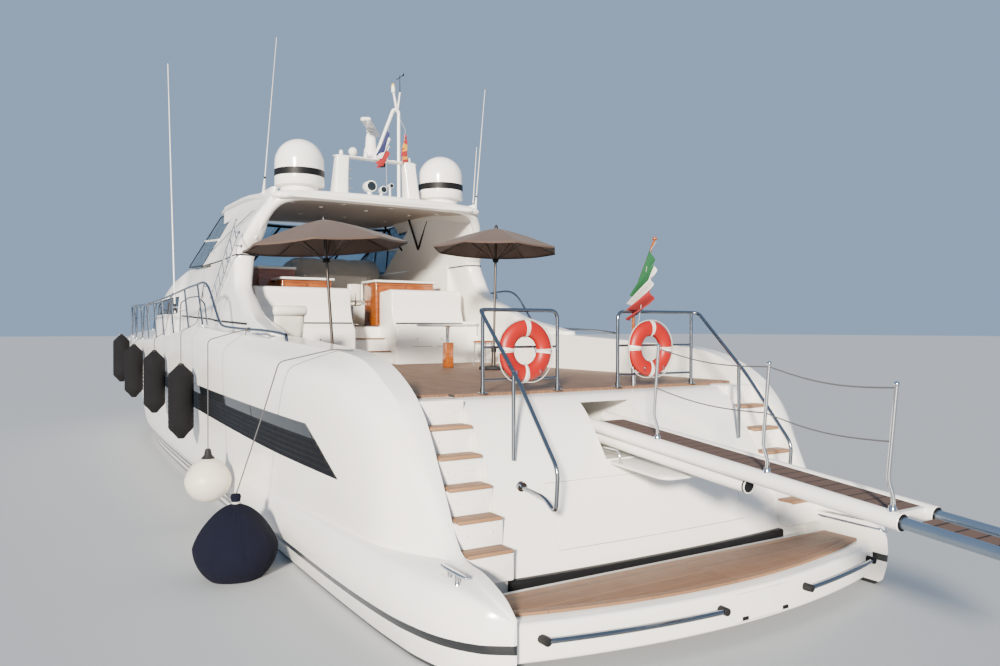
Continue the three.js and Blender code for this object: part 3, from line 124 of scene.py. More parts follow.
# Materials
class Shade:
    """A principled material and short calls for the nodes that feed it."""

    def __init__(self, name, color, rough, metallic=0.0, **sockets):
        self.mat = bpy.data.materials.new(name)
        self.mat.use_nodes = True
        self.mat.diffuse_color = (*color, 1)
        self.tree = self.mat.node_tree
        self.shader = self.tree.nodes["Principled BSDF"]
        self.set("Base Color", (*color, 1))
        self.set("Roughness", rough)
        self.set("Metallic", metallic)
        for socket, value in sockets.items():
            self.set(socket.replace("_", " "), value)

    def set(self, socket, value):
        self.shader.inputs[socket].default_value = value

    def feed(self, socket, output):
        self.tree.links.new(output, self.shader.inputs[socket])

    def node(self, kind, inputs=(), **settings):
        made = self.tree.nodes.new(kind)
        for key, value in settings.items():
            setattr(made, key, value)
        for key, value in dict(inputs).items():
            if isinstance(value, bpy.types.NodeSocket):
                self.tree.links.new(value, made.inputs[key])
            else:
                made.inputs[key].default_value = value
        return made

    def place(self, scale=(1, 1, 1), turn=(0, 0, 0)):
        """The point on the object in metres, scaled or turned."""
        coords = self.node("ShaderNodeTexCoord").outputs["Object"]
        if scale == (1, 1, 1) and turn == (0, 0, 0):
            return coords
        return self.node("ShaderNodeMapping", {"Vector": coords, "Scale": scale, "Rotation": turn}).outputs[0]

    def noise(self, scale, detail=3.0, stretch=(1, 1, 1)):
        return self.node("ShaderNodeTexNoise", {
            "Vector": self.place(stretch), "Scale": scale, "Detail": detail}).outputs["Fac"]

    def math(self, operation, a, b=0.0, c=0.0):
        return self.node("ShaderNodeMath", {0: a, 1: b, 2: c}, operation=operation).outputs[0]

    def ramp(self, factor, stops):
        made = self.node("ShaderNodeValToRGB", {"Fac": factor})
        elements = made.color_ramp.elements
        while len(elements) < len(stops):
            elements.new(0.5)
        for element, (at, color) in zip(elements, stops):
            element.position = at
            element.color = (*color, 1)
        return made.outputs["Color"]

    def mix(self, factor, a, b):
        made = self.node("ShaderNodeMix", data_type="RGBA")
        for key, value in ((0, factor), (6, a), (7, b)):
            if isinstance(value, bpy.types.NodeSocket):
                self.tree.links.new(value, made.inputs[key])
            elif key:
                made.inputs[key].default_value = (*value, 1)
            else:
                made.inputs[key].default_value = value
        return made.outputs[2]

    def bump(self, height, strength, distance):
        made = self.node("ShaderNodeBump", {"Height": height, "Strength": strength, "Distance": distance})
        self.feed("Normal", made.outputs[0])

    def varied(self, first, second, scale, detail=3.0):
        """Feeds the colour with a soft mix of two colours."""
        color = self.mix(self.noise(scale, detail), first, second)
        self.feed("Base Color", color)
        return color

    def rough_from(self, low, high, scale):
        spread = self.node("ShaderNodeMapRange", {
            "Value": self.noise(scale, 4.0), "To Min": low, "To Max": high})
        self.feed("Roughness", spread.outputs[0])


CAULK_WIDTH = 0.0045
CAULKING, WEATHERED = (0.03, 0.028, 0.026), (0.21, 0.15, 0.105)
TEAK_PALE, TEAK_DARK = (0.185, 0.088, 0.042), (0.115, 0.052, 0.025)
GEL = (0.86, 0.845, 0.81)
GEL_WARM = (0.88, 0.845, 0.79)
BLACK = (0.012, 0.013, 0.015)
# Painted lines along the hull; those for its foremost part only end at LINES_FADE_X
HULL_LINES = (
    # lowest and highest z, foremost part only
    (-3.0, 0.035, False), (0.255, 0.325, False), (0.13, 0.215, True), (0.352, 0.368, True),
)
LINES_FADE_X = -6.5


def gelcoat(name, lines=False):
    made = Shade(name, GEL, 0.22, Coat_Weight=0.35, Coat_Roughness=0.06)
    color = made.varied(GEL, GEL_WARM, 0.55, 4.0)
    if lines:
        spot = made.node("ShaderNodeSeparateXYZ", {"Vector": made.place()})
        forward = made.math("GREATER_THAN", spot.outputs["X"], LINES_FADE_X)
        painted = None
        for low, high, fore_only in HULL_LINES:
            band = made.math("COMPARE", spot.outputs["Z"], (low + high) / 2, (high - low) / 2)
            if fore_only:
                band = made.math("MULTIPLY", band, forward)
            painted = band if painted is None else made.math("MAXIMUM", painted, band)
        made.feed("Base Color", made.mix(painted, color, BLACK))
    made.rough_from(0.14, 0.3, 1.7)
    made.bump(made.noise(1.3, 2.0), 0.05, 0.01)
    return made.mat


def planks(name, along="X", width=0.05, pale=TEAK_PALE, dark=TEAK_DARK):
    """Teak laid in strips with dark caulking; along names the strips' direction."""
    made = Shade(name, pale, 0.62)
    spot = made.node("ShaderNodeSeparateXYZ", {"Vector": made.place()})
    across = spot.outputs["Y" if along == "X" else "X"]
    run = spot.outputs["X" if along == "X" else "Y"]
    strip = made.math("MULTIPLY", across, 1 / width)
    number = made.math("FLOOR", strip)
    within = made.math("FRACT", strip)
    seam = made.math("LESS_THAN", within, CAULK_WIDTH / width)
    stretch = (0.6, 14, 14) if along == "X" else (14, 0.6, 14)
    grain = made.noise(9.0, 6.0, stretch)
    own = made.node("ShaderNodeTexWhiteNoise", {"Vector": made.node("ShaderNodeCombineXYZ",
            {0: number, 1: made.math("FLOOR", made.math("MULTIPLY", run, 0.45))}).outputs[0]})
    tone = made.math("ADD", made.math("MULTIPLY", grain, 0.65),
                     made.math("MULTIPLY", own.outputs["Value"], 0.35))
    bright = tuple(c * k for c, k in zip(pale, (1.22, 1.2, 1.2)))
    wood = made.ramp(tone, ((0.2, dark), (0.5, pale), (0.8, bright)))
    weather = made.mix(made.math("MULTIPLY", made.noise(1.4, 4.0), 0.2), wood, WEATHERED)
    made.feed("Base Color", made.mix(seam, weather, CAULKING))
    made.rough_from(0.5, 0.78, 6.0)
    made.bump(made.math("SUBTRACT", grain, seam), 0.35, 0.0015)
    return made.mat


def varnished(name):
    made = Shade(name, (0.5, 0.17, 0.035), 0.2, Coat_Weight=0.8, Coat_Roughness=0.05)
    grain = made.noise(5.0, 7.0, (6, 0.7, 14))
    made.feed("Base Color", made.ramp(grain, (
        (0.25, (0.12, 0.024, 0.003)), (0.5, (0.25, 0.062, 0.007)), (0.75, (0.35, 0.1, 0.012)))))
    made.bump(grain, 0.08, 0.001)
    return made.mat


def metal(name, color, rough, spread=0.08):
    made = Shade(name, color, rough, 1.0)
    made.varied(color, tuple(c * 0.86 for c in color), 3.0)
    made.rough_from(rough, rough + spread, 20.0)
    made.bump(made.noise(60.0, 2.0), 0.02, 0.0005)
    return made.mat


def plain(name, color, rough, bump_scale=180.0, strength=0.12, **sockets):
    made = Shade(name, color, rough, **sockets)
    made.varied(color, tuple(c * 0.8 for c in color), 4.0)
    made.rough_from(rough * 0.85, min(rough * 1.2, 1), 15.0)
    made.bump(made.noise(bump_scale, 3.0), strength, 0.001)
    return made.mat


def woven(name, color, thread=0.0035, rough=0.85, fade=0.82, strength=0.5):
    """Cloth with crossing threads and a soft fade."""
    made = Shade(name, color, rough, Sheen_Weight=0.06, Sheen_Roughness=0.5)
    turns = tau / thread
    waves = []
    for turn in (0, pi / 2):
        spot = made.node("ShaderNodeSeparateXYZ", {"Vector": made.place((1, 1, 1), (0.5, 0.35, turn))})
        waves.append(made.math("SINE", made.math("MULTIPLY", spot.outputs["X"], turns)))
    weave = made.math("MULTIPLY", waves[0], waves[1])
    tone = made.mix(made.noise(2.2, 5.0), color, tuple(c * fade for c in color))
    made.feed("Base Color", made.mix(made.math("MULTIPLY_ADD", weave, 0.12, 0.12), tone,
                                     tuple(c * 0.6 for c in color)))
    made.bump(weave, strength, 0.0008)
    return made.mat


def knitted(name, color):
    """Ribbed stretch sock over a fender."""
    made = Shade(name, color, 0.95, Specular_IOR_Level=0.2)
    made.varied(color, tuple(c * 1.5 + 0.001 for c in color), 6.0, 5.0)
    ribs = made.node("ShaderNodeTexWave", {"Vector": made.place((1, 1, 0.2)), "Scale": 60.0,
                                           "Distortion": 1.5})
    made.bump(made.math("ADD", ribs.outputs["Fac"], made.noise(220.0)), 0.5, 0.002)
    return made.mat


def vinyl(name, color, grain=120.0):
    made = Shade(name, color, 0.42, Coat_Weight=0.1, Coat_Roughness=0.3)
    made.varied(color, tuple(c * 0.88 for c in color), 2.5, 4.0)
    cells = made.node("ShaderNodeTexVoronoi", {"Vector": made.place(), "Scale": grain},
                      feature="DISTANCE_TO_EDGE")
    made.bump(cells.outputs["Distance"], 0.25, 0.001)
    return made.mat


QUILT_PITCH = 0.16


def quilted(name, color):
    """Padded cover sewn in diamonds."""
    made = Shade(name, color, 0.8, Sheen_Weight=0.2)
    made.varied(color, tuple(c * 0.72 for c in color), 3.0, 5.0)
    spot = made.node("ShaderNodeSeparateXYZ", {"Vector": made.place()})
    depth = made.math("ADD", spot.outputs["X"], spot.outputs["Z"])
    lines = []
    for sign in (1, -1):
        slant = made.math("MULTIPLY_ADD", spot.outputs["Y"], sign, depth)
        lines.append(made.math("ABSOLUTE", made.math("SINE", made.math("MULTIPLY", slant, pi / QUILT_PITCH))))
    puff = made.math("POWER", made.math("MULTIPLY", lines[0], lines[1]), 0.35)
    made.bump(puff, 0.35, 0.006)
    return made.mat


def glass(name, color, rough=0.04, clear=0.9):
    made = Shade(name, color, rough, Transmission_Weight=clear, IOR=1.45)
    made.rough_from(rough, rough + 0.05, 2.0)
    return made.mat


def rope_stuff(name, color):
    made = Shade(name, color, 0.9)
    twist = made.node("ShaderNodeTexWave", {"Vector": made.place((1, 1, 1), (0.6, 0.8, 0.2)), "Scale": 55.0})
    made.feed("Base Color", made.mix(twist.outputs["Fac"], color, tuple(c * 0.55 for c in color)))
    made.bump(twist.outputs["Fac"], 0.6, 0.002)
    return made.mat


def build_materials():
    mats = {
        "gelcoat": gelcoat("gelcoat"),
        "hull_paint": gelcoat("hull_paint", lines=True),
        "soffit": vinyl("soffit", (0.3, 0.245, 0.2), 160.0),
        "teak": planks("teak"),
        "teak_cross": planks("teak_cross", "Y"),
        "nosing": planks("nosing", "Y", 0.5, (0.27, 0.14, 0.065), (0.2, 0.1, 0.045)),
        "margin": planks("margin", "X", 0.9, (0.22, 0.115, 0.058), (0.15, 0.075, 0.036)),
        "tread": planks("tread", "Y", 0.06, (0.24, 0.12, 0.056), (0.16, 0.075, 0.034)),
        "varnish": varnished("varnish"),
        "stainless": metal("stainless", (0.72, 0.73, 0.74), 0.1),
        "rail_steel": metal("rail_steel", (0.27, 0.29, 0.32), 0.13),
        "aluminium": metal("aluminium", (0.6, 0.61, 0.62), 0.32),
        "bronze": metal("bronze", (0.55, 0.36, 0.15), 0.34, 0.2),
        "blue_steel": metal("blue_steel", (0.42, 0.48, 0.55), 0.28),
        "pole": metal("pole", (0.085, 0.07, 0.062), 0.35),
        "black": plain("black", (0.007, 0.007, 0.008), 0.5, Specular_IOR_Level=0.2),
        "rubber_and_painted_shade": plain("rubber_and_painted_shade", (0.01, 0.01, 0.011), 0.65, Specular_IOR_Level=0.3),
        "white_plastic": plain("white_plastic", (0.78, 0.77, 0.74), 0.35),
        "dark_glass": plain("dark_glass", (0.012, 0.016, 0.02), 0.06, 40.0, 0.01, Coat_Weight=0.5),
        "tinted_glass": glass("tinted_glass", (0.2, 0.28, 0.34), 0.03, 0.85),
        "clear_glass": glass("clear_glass", (0.45, 0.6, 0.7), 0.02, 0.95),
        "cover": quilted("cover", (0.66, 0.625, 0.575)),
        "canvas": woven("canvas", (0.082, 0.05, 0.038), 0.006),
        "vinyl": vinyl("vinyl", (0.75, 0.715, 0.65)),
        "sock_black": knitted("sock_black", (0.004, 0.004, 0.005)),
        "sock_navy": knitted("sock_navy", (0.0012, 0.0018, 0.008)),
        "ball_white": vinyl("ball_white", (0.66, 0.61, 0.52), 60.0),
        "buoy_red": plain("buoy_red", (0.34, 0.005, 0.0015), 0.42),
        "buoy_white": plain("buoy_white", (0.8, 0.78, 0.74), 0.45),
        "rope_white": rope_stuff("rope_white", (0.62, 0.6, 0.55)),
        "rope_dark": rope_stuff("rope_dark", (0.1, 0.1, 0.11)),
        "grip": plain("grip", (0.1, 0.057, 0.042), 0.85, 300.0, 0.5),
        "lamp": plain("lamp", (0.9, 0.88, 0.8), 0.25),
        "lamp_yellow": plain("lamp_yellow", (0.85, 0.5, 0.05), 0.3),
    }
    for name, color in (("flag_green", (0.006, 0.1, 0.03)), ("flag_white", (0.78, 0.77, 0.74)),
                        ("flag_red", (0.3, 0.008, 0.01)), ("flag_blue", (0.015, 0.02, 0.09)),
                        ("flag_yellow", (0.55, 0.27, 0.01))):
        mats[name] = woven(name, color, 0.002, 0.8, 0.9, 0.2)
    return mats


MATS = build_materials()


# Forms
BEVEL_OVER = 32  # degrees between two faces from which their edge gets a bevel


def circle(count, start=0.0):
    """Cosine and sine of equal turns round a circle."""
    return [(cos(tau * k / count + start), sin(tau * k / count + start)) for k in range(count)]


def boxy(value, power):
    """A cosine or sine raised so that a round section becomes squarer."""
    return copysign(abs(value) ** power, value)


def mirrored(points):
    """The points of the other side, back along the line."""
    return [Vector((x, -y, z)) for x, y, z in reversed(points)]


def row_at(rows, x):
    """The row of a table at x, between the two that it lies between."""
    for a, b in zip(rows, rows[1:]):
        if b[0] >= x:
            t = (x - a[0]) / (b[0] - a[0])
            return [a[c] + (b[c] - a[c]) * t for c in range(len(a))]
    return rows[-1]


def curve_through(points, per_gap):
    """Smooth curve through points, spaced by their distance along it."""
    p = [Vector(point) for point in points]
    at = [0.0]
    for a, b in zip(p, p[1:]):
        at.append(at[-1] + max((b - a).length, 1e-6))
    slopes = []
    for i in range(len(p)):
        lo, hi = max(i - 1, 0), min(i + 1, len(p) - 1)
        slopes.append((p[hi] - p[lo]) / (at[hi] - at[lo]))
    made = []
    for i in range(len(p) - 1):
        gap = at[i + 1] - at[i]
        for k in range(per_gap):
            t = k / per_gap
            made.append(p[i] * (2 * t**3 - 3 * t**2 + 1) + slopes[i] * gap * (t**3 - 2 * t**2 + t)
                        + p[i + 1] * (3 * t**2 - 2 * t**3) + slopes[i + 1] * gap * (t**3 - t**2))
    return made + [p[-1]]


def flat_curve(points, per_gap):
    """A smooth curve through pairs, as pairs."""
    return [(p.x, p.y) for p in curve_through(points, per_gap)]


def smooth_rows(table, per_gap):
    """Fills in a table of rows by smooth curves between them; the first column leads."""
    rows = []
    for i in range(len(table) - 1):
        p0, p1, p2 = table[max(i - 1, 0)], table[i], table[i + 1]
        p3 = table[min(i + 2, len(table) - 1)]
        gap = p2[0] - p1[0]
        for k in range(per_gap):
            t = k / per_gap
            row = [p1[0] + gap * t]
            for c in range(1, len(p1)):
                slope_in = (p2[c] - p0[c]) / (p2[0] - p0[0]) * gap
                slope_out = (p3[c] - p1[c]) / (p3[0] - p1[0]) * gap
                row.append((2 * t**3 - 3 * t**2 + 1) * p1[c] + (t**3 - 2 * t**2 + t) * slope_in
                           + (3 * t**2 - 2 * t**3) * p2[c] + (t**3 - t**2) * slope_out)
            rows.append(row)
    rows.append(list(table[-1]))
    return rows


def rounded(points, bend, steps=5):
    """The points of a bar with its corners rounded."""
    p = [Vector(point) for point in points]
    made = [p[0]]
    for before, corner, after in zip(p, p[1:], p[2:]):
        back, ahead = before - corner, after - corner
        cut = min(bend, back.length / 2.1, ahead.length / 2.1)
        enter, leave = corner + back.normalized() * cut, corner + ahead.normalized() * cut
        for k in range(steps + 1):
            t = k / steps
            made.append(enter * (1 - t) ** 2 + corner * 2 * t * (1 - t) + leave * t**2)
    return made + [p[-1]]


class Piece:
    """A visible piece gathered from simple forms; each form takes the material in use."""

    def __init__(self, name, slot, body=YACHT, replaces=()):
        self.name, self.slot, self.body, self.replaced = name, slot, body, replaces
        self.verts, self.faces, self.marks, self.mats = [], [], [], []
        self.mark = 0
        self.shift = Matrix.Identity(4)

    def use(self, material):
        if material not in self.mats:
            self.mats.append(material)
        self.mark = self.mats.index(material)
        return self

    def add(self, verts, faces):
        base = len(self.verts)
        self.verts.extend(self.shift @ Vector(v) for v in verts)
        self.faces.extend(tuple(base + i for i in face) for face in faces)
        self.marks.extend([self.mark] * len(faces))
        return self

    def loft(self, rings, ends=True, loop=False):
        count = len(rings[0])
        faces = []
        for r in range(len(rings) if loop else len(rings) - 1):
            a, b = r * count, (r + 1) % len(rings) * count
            faces += [(a + k, a + (k + 1) % count, b + (k + 1) % count, b + k) for k in range(count)]
        if ends and not loop:
            faces.append(tuple(reversed(range(count))))
            faces.append(tuple(range((len(rings) - 1) * count, len(rings) * count)))
        return self.add([p for ring in rings for p in ring], faces)

    def tube(self, points, radius, sides=12, bend=0.0, loop=False):
        """Round bar; radius is one number, or one for each point when there is no bend."""
        p = rounded(points, bend) if bend else [Vector(point) for point in points]
        radii = radius if isinstance(radius, (list, tuple)) else [radius] * len(p)
        rings, side = [], None
        for i, point in enumerate(p):
            before = p[i - 1] if loop or i else p[0]
            after = p[(i + 1) % len(p)] if loop or i < len(p) - 1 else p[-1]
            along = (after - before).normalized()
            if side is None:
                side = Vector((0, 0, 1)) if abs(along.z) < 0.9 else Vector((1, 0, 0))
            side = (side - along * side.dot(along)).normalized()
            other = along.cross(side)
            rings.append([point + side * radii[i] * c + other * radii[i] * s for c, s in circle(sides)])
        return self.loft(rings, True, loop)

    def rod(self, a, b, radius, radius_to=None, sides=16):
        return self.tube([a, b], [radius, radius if radius_to is None else radius_to], sides)

    def box(self, lo, hi):
        (x0, x1), (y0, y1), (z0, z1) = (sorted(pair) for pair in zip(lo, hi))
        verts = [(x, y, z) for z in (z0, z1) for y in (y0, y1) for x in (x0, x1)]
        return self.add(verts, [(0, 2, 3, 1), (4, 5, 7, 6), (0, 1, 5, 4), (2, 6, 7, 3), (0, 4, 6, 2),
                                (1, 3, 7, 5)])

    def turned(self, centre, profile, sides=32, axis="Z"):
        """Solid turned about an axis through centre, from a profile of (radius, distance along it)."""
        turn = {"Z": Matrix.Identity(3), "X": Matrix.Rotation(pi / 2, 3, "Y"),
                "Y": Matrix.Rotation(-pi / 2, 3, "X")}[axis]
        rings = []
        for r, along in profile:
            r = max(r, 1e-4)
            rings.append([Vector(centre) + turn @ Vector((r * c, r * s, along)) for c, s in circle(sides)])
        return self.loft(rings)

    def ball(self, centre, radius, squash=1.0):
        x, y, z = centre
        rings = []
        sides, steps = 20, 10
        for i in range(steps + 1):
            up = -pi / 2 + pi * i / steps
            r = radius * max(cos(up), 1e-3)
            rings.append([(x + r * c, y + r * s, z + radius * squash * sin(up)) for c, s in circle(sides)])
        return self.loft(rings)

    def plate(self, outline, y0, y1):
        """Side outline of (x, z) made solid from y0 to y1."""
        return self.loft([[(x, y, z) for x, z in outline] for y in (y0, y1)])

    def slab(self, outline, z0, z1):
        """Plan outline of (x, y) made solid from z0 to z1."""
        return self.loft([[(x, y, z) for x, y in outline] for z in (z0, z1)])

    def form(self):
        """The object made of the forms so far."""
        mesh = bpy.data.meshes.new(self.name)
        mesh.from_pydata(self.verts, [], self.faces)
        for mat in self.mats:
            mesh.materials.append(MATS[mat])
        mesh.polygons.foreach_set("material_index", self.marks)
        rework(mesh, face_outwards)
        return bpy.data.objects.new(self.name, mesh)

    def done(self, bevel=0.0, angle=38, segments=2, cuts=()):
        obj = self.form()
        link(obj)
        if bevel:
            rework(obj.data, bevel_edges(bevel, segments))
        for other in cuts:
            cut_away(obj, other.form() if isinstance(other, Piece) else other)
        rework(obj.data, split_wide_faces)
        soften(obj.data, angle)
        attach(obj, self.body)
        if self.replaced:
            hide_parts(*self.replaced)
        return obj


def rework(mesh, step):
    """Runs one step of bmesh work on a mesh."""
    work = bmesh.new()
    work.from_mesh(mesh)
    step(work)
    work.to_mesh(mesh)
    work.free()


def face_outwards(work):
    bmesh.ops.recalc_face_normals(work, faces=work.faces)


def split_wide_faces(work):
    """Faces of many corners become triangles, which shade evenly."""
    bmesh.ops.triangulate(work, faces=[f for f in work.faces if len(f.verts) > 4])


def bevel_edges(width, segments):
    """The step that bevels a mesh's sharp edges."""
    def step(work):
        bmesh.ops.remove_doubles(work, verts=work.verts, dist=1e-5)
        edges = [e for e in work.edges if e.is_manifold and e.calc_face_angle(0) > radians(BEVEL_OVER)]
        bmesh.ops.bevel(work, geom=edges, offset=width, segments=segments, profile=0.5, affect="EDGES",
                        clamp_overlap=True, material=-1)

    return step


def bake_modifiers(obj):
    """Applies what modifies the object to its mesh."""
    bpy.context.view_layer.update()
    made = bpy.data.meshes.new_from_object(obj.evaluated_get(bpy.context.evaluated_depsgraph_get()))
    obj.modifiers.clear()
    obj.data = made


def cut_away(obj, other, operation="DIFFERENCE"):
    step = obj.modifiers.new("cut", "BOOLEAN")
    step.operation, step.solver, step.object = operation, "EXACT", other
    bake_modifiers(obj)


def soften(mesh, angle=38):
    mesh.shade_smooth()
    mesh.set_sharp_from_angle(angle=radians(angle))


def cutter(material="gelcoat"):
    """A piece whose forms only cut others."""
    return Piece("cutter", "gelcoat_white").use(material)


def dress(node, material, angle=30):
    """Gives a node that keeps its own solid its finish."""
    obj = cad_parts[node]
    obj.data.materials.clear()
    obj.data.materials.append(MATS[material])
    soften(obj.data, angle)
    return obj


# Hull
HULL = [
    # x, keel z, then y and z of chine, belt, top of the swelling, crease, side, shoulder, ridge
    [-11.9, -0.1, 2.165, 0.1, 2.225, 0.3, 2.215, 0.47, 2.212, 0.48, 2.21, 0.49, 2.208, 0.5, 2.205, 0.505],
    [-11.75, -0.3, 2.3, 0, 2.43, 0.33, 2.38, 0.575, 2.29, 0.6, 2.28, 0.605, 2.27, 0.61, 2.24, 0.615],
    [-11.45, -0.6, 2.44, -0.08, 2.62, 0.37, 2.55, 0.66, 2.33, 0.7, 2.31, 0.705, 2.29, 0.71, 2.25, 0.715],
    [-11.05, -0.74, 2.53, -0.11, 2.73, 0.4, 2.65, 0.705, 2.33, 0.745, 2.31, 0.76, 2.28, 0.78, 2.23, 0.8],
    [-10.75, -0.75, 2.55, -0.12, 2.775, 0.41, 2.7, 0.72, 2.5, 0.752, 2.45, 0.96, 2.37, 1.17, 2.3, 1.27],
    [-10.4, -0.76, 2.565, -0.13, 2.805, 0.42, 2.73, 0.728, 2.645, 0.758, 2.615, 1.25, 2.52, 1.66, 2.385,
     1.81],
    [-10, -0.765, 2.575, -0.13, 2.825, 0.42, 2.755, 0.73, 2.69, 0.76, 2.685, 1.4, 2.62, 1.9, 2.42, 2.11],
    [-9.4, -0.77, 2.585, -0.13, 2.84, 0.42, 2.78, 0.725, 2.72, 0.757, 2.745, 1.48, 2.705, 2.08, 2.43, 2.32],
    [-8.4, -0.78, 2.595, -0.13, 2.845, 0.42, 2.805, 0.705, 2.77, 0.74, 2.805, 1.5, 2.8, 2.15, 2.5, 2.4],
    [-7, -0.79, 2.6, -0.125, 2.845, 0.42, 2.835, 0.68, 2.825, 0.715, 2.86, 1.5, 2.87, 2.2, 2.6, 2.47],
    [-5, -0.81, 2.6, -0.12, 2.83, 0.42, 2.845, 0.665, 2.845, 0.7, 2.895, 1.5, 2.93, 2.32, 2.79, 2.56],
    [-3.5, -0.82, 2.6, -0.11, 2.82, 0.42, 2.845, 0.66, 2.845, 0.695, 2.9, 1.5, 2.945, 2.43, 2.87, 2.63],
    [-1, -0.84, 2.59, -0.09, 2.8, 0.42, 2.83, 0.66, 2.83, 0.695, 2.9, 1.5, 2.95, 2.35, 2.905, 2.48],
    [2, -0.86, 2.54, -0.05, 2.74, 0.42, 2.78, 0.66, 2.782, 0.695, 2.86, 1.5, 2.95, 2.26, 2.915, 2.37],
    [4.2, -0.86, 2.4, 0.03, 2.62, 0.45, 2.67, 0.69, 2.673, 0.725, 2.79, 1.52, 2.935, 2.26, 2.905, 2.365],
    [6.5, -0.82, 1.93, 0.23, 2.17, 0.6, 2.25, 0.81, 2.254, 0.845, 2.48, 1.6, 2.79, 2.31, 2.765, 2.41],
    [8.5, -0.66, 1.24, 0.56, 1.48, 0.9, 1.58, 1.08, 1.584, 1.115, 1.9, 1.76, 2.32, 2.4, 2.3, 2.5],
    [10, -0.28, 0.6, 0.96, 0.79, 1.24, 0.88, 1.39, 0.884, 1.425, 1.18, 1.96, 1.59, 2.51, 1.57, 2.61],
    [11, 0.6, 0.21, 1.4, 0.32, 1.64, 0.38, 1.77, 0.383, 1.8, 0.55, 2.2, 0.79, 2.61, 0.77, 2.71],
    [11.6, 1.9, 0.045, 2.06, 0.065, 2.18, 0.078, 2.25, 0.08, 2.275, 0.11, 2.45, 0.165, 2.69, 0.15, 2.78],
]
DECK_CAMBER = 0.06
HULL_ROWS = smooth_rows(HULL, 4)


def hull_half(row):
    """Port half of a hull section, from the keel up to the ridge, as (y, z)."""
    pairs = [(row[c], row[c + 1]) for c in range(2, len(row), 2)]
    swelling = flat_curve(pairs[:4], 4)
    topside = flat_curve(pairs[3:], 5)
    return swelling[:-1] + topside


def hull_section(row):
    half = hull_half(row)
    x, keel = row[0], row[1]
    ridge_z = half[-1][1]
    crown = ridge_z + DECK_CAMBER
    if x < COCKPIT_FORE + 0.3:
        crown = min(crown, SOLE_Z - 0.1)
    port = [(x, y, z) for y, z in half]
    return [(x, 0, keel)] + port + [(x, 0, crown)] + mirrored(port)


def ridge_at(x):
    """The y and z of the bulwark's ridge at a station."""
    return row_at(HULL_ROWS, x)[-2:]


TRANSOM = [
    # x, z
    (-10.05, DECK_Z - TEAK), (-10.2, 1.915), (-10.4, 1.76), (-10.6, 1.5), (-10.78, 1.22), (-10.93, 0.9),
    (-11.02, 0.64), (-11.05, 0.43),
]
TRANSOM_CURVE = flat_curve(TRANSOM, 4)
TRANSOM_BOW = 0.11
GANGWAY_RECESS = {"half": 0.32, "fore": -9.3, "low": 1.345, "high": 1.86}
GARAGE = {"half": 1.18, "top": 1.2, "bottom": 0.64, "thick": 0.07}


def along_curve(curve, z):
    """The first value of a curve's pairs where the second one is z."""
    for (x0, z0), (x1, z1) in zip(curve, curve[1:]):
        if min(z0, z1) <= z <= max(z0, z1):
            return x0 + (x1 - x0) * (z - z0) / (z1 - z0)
    return curve[0][0] if abs(z - curve[0][1]) < abs(z - curve[-1][1]) else curve[-1][0]


def transom_x(y, z):
    """Where the transom's face is at a height."""
    return along_curve(TRANSOM_CURVE, z) + TRANSOM_BOW * (y / WELL_HALF) ** 2


CUT_AFT, CUT_LOW = -13.5, -1.5


def stern_space(piece, off, half, top):
    """Everything aft of a surface that lies off the transom by a distance."""
    rings = []
    for k in range(13):
        s = -1 + k / 6
        forward = TRANSOM_BOW * s * s - off
        face = [(x + forward, s * half, z) for x, z in TRANSOM_CURVE]
        foot = TRANSOM[-1][0] + forward
        rings.append([(-10.05 + forward, s * half, top)] + face + [
            (foot, s * half, CUT_LOW), (CUT_AFT, s * half, CUT_LOW), (CUT_AFT, s * half, top)])
    return piece.loft(rings)


STAIR_FORE = -10.23


def step_x(step):
    return STAIR_FORE - STAIR_GOING * step


def step_z(step):
    return DECK_Z - STAIR_RISE * step


def make_hull():
    hull = Piece("hull_moulding", "gelcoat_white", replaces=("hull",)).use("hull_paint")
    hull.loft([hull_section(row) for row in HULL_ROWS])
    cuts = [cutter().box((-12.5, -3.5, -1.5), (-11.0, 3.5, -0.1)),
            cutter().box((-10.25, -WELL_HALF, DECK_Z - TEAK), (BULKHEAD_X + 0.004, WELL_HALF, 4)),
            stern_space(cutter(), 0, WELL_HALF, 4)]
    channel = [(-9.9, 1.4497), (-9.8997, 4), (-13, 4), (-13, 0.4997), (-11, 0.4997)]
    cuts += [cutter().plate(channel, side * STAIR_IN, side * WELL_HALF) for _, side in SIDES]
    recess = GANGWAY_RECESS
    cuts.append(cutter().box((-11.5, GANGWAY_Y - recess["half"], recess["low"]),
                             (recess["fore"], GANGWAY_Y + recess["half"], recess["high"])))
    # The garage door's pocket: what lies aft of a face inside the hull, within the door's outline
    zone = cutter().box((-12, -GARAGE["half"], GARAGE["bottom"]), (-10, GARAGE["half"], GARAGE["top"]))
    pocket = stern_space(cutter(), -(GARAGE["thick"] + 0.03), WELL_HALF + 0.05, 3).form()
    link(pocket)
    cut_away(pocket, zone.form(), "INTERSECT")
    bpy.context.collection.objects.unlink(pocket)
    hull.done(cuts=cuts + [pocket], angle=34)


def on_shaft(x, y):
    return (x, y, PROP_Z + (x - PROP_X) * SHAFT_RISE)


def make_brackets():
    piece = Piece("shaft_brackets", "bronze").use("bronze")
    for _, side in SIDES:
        y, ring = side * PROP_Y, PROP_X + 0.3
        piece.rod(on_shaft(PROP_X + 0.17, y), on_shaft(PROP_X + 0.42, y), 0.066)
        piece.rod(on_shaft(ring, y - side * 0.02), (ring + 0.08, y - side * 0.33, -0.48), 0.024)
        piece.rod(on_shaft(ring, y + side * 0.02), (ring + 0.08, y + side * 0.33, -0.3), 0.024)
        piece.rod(on_shaft(SHAFT_FORE_X - 0.52, y), on_shaft(SHAFT_FORE_X + 0.3, y), 0.075)
    piece.done()


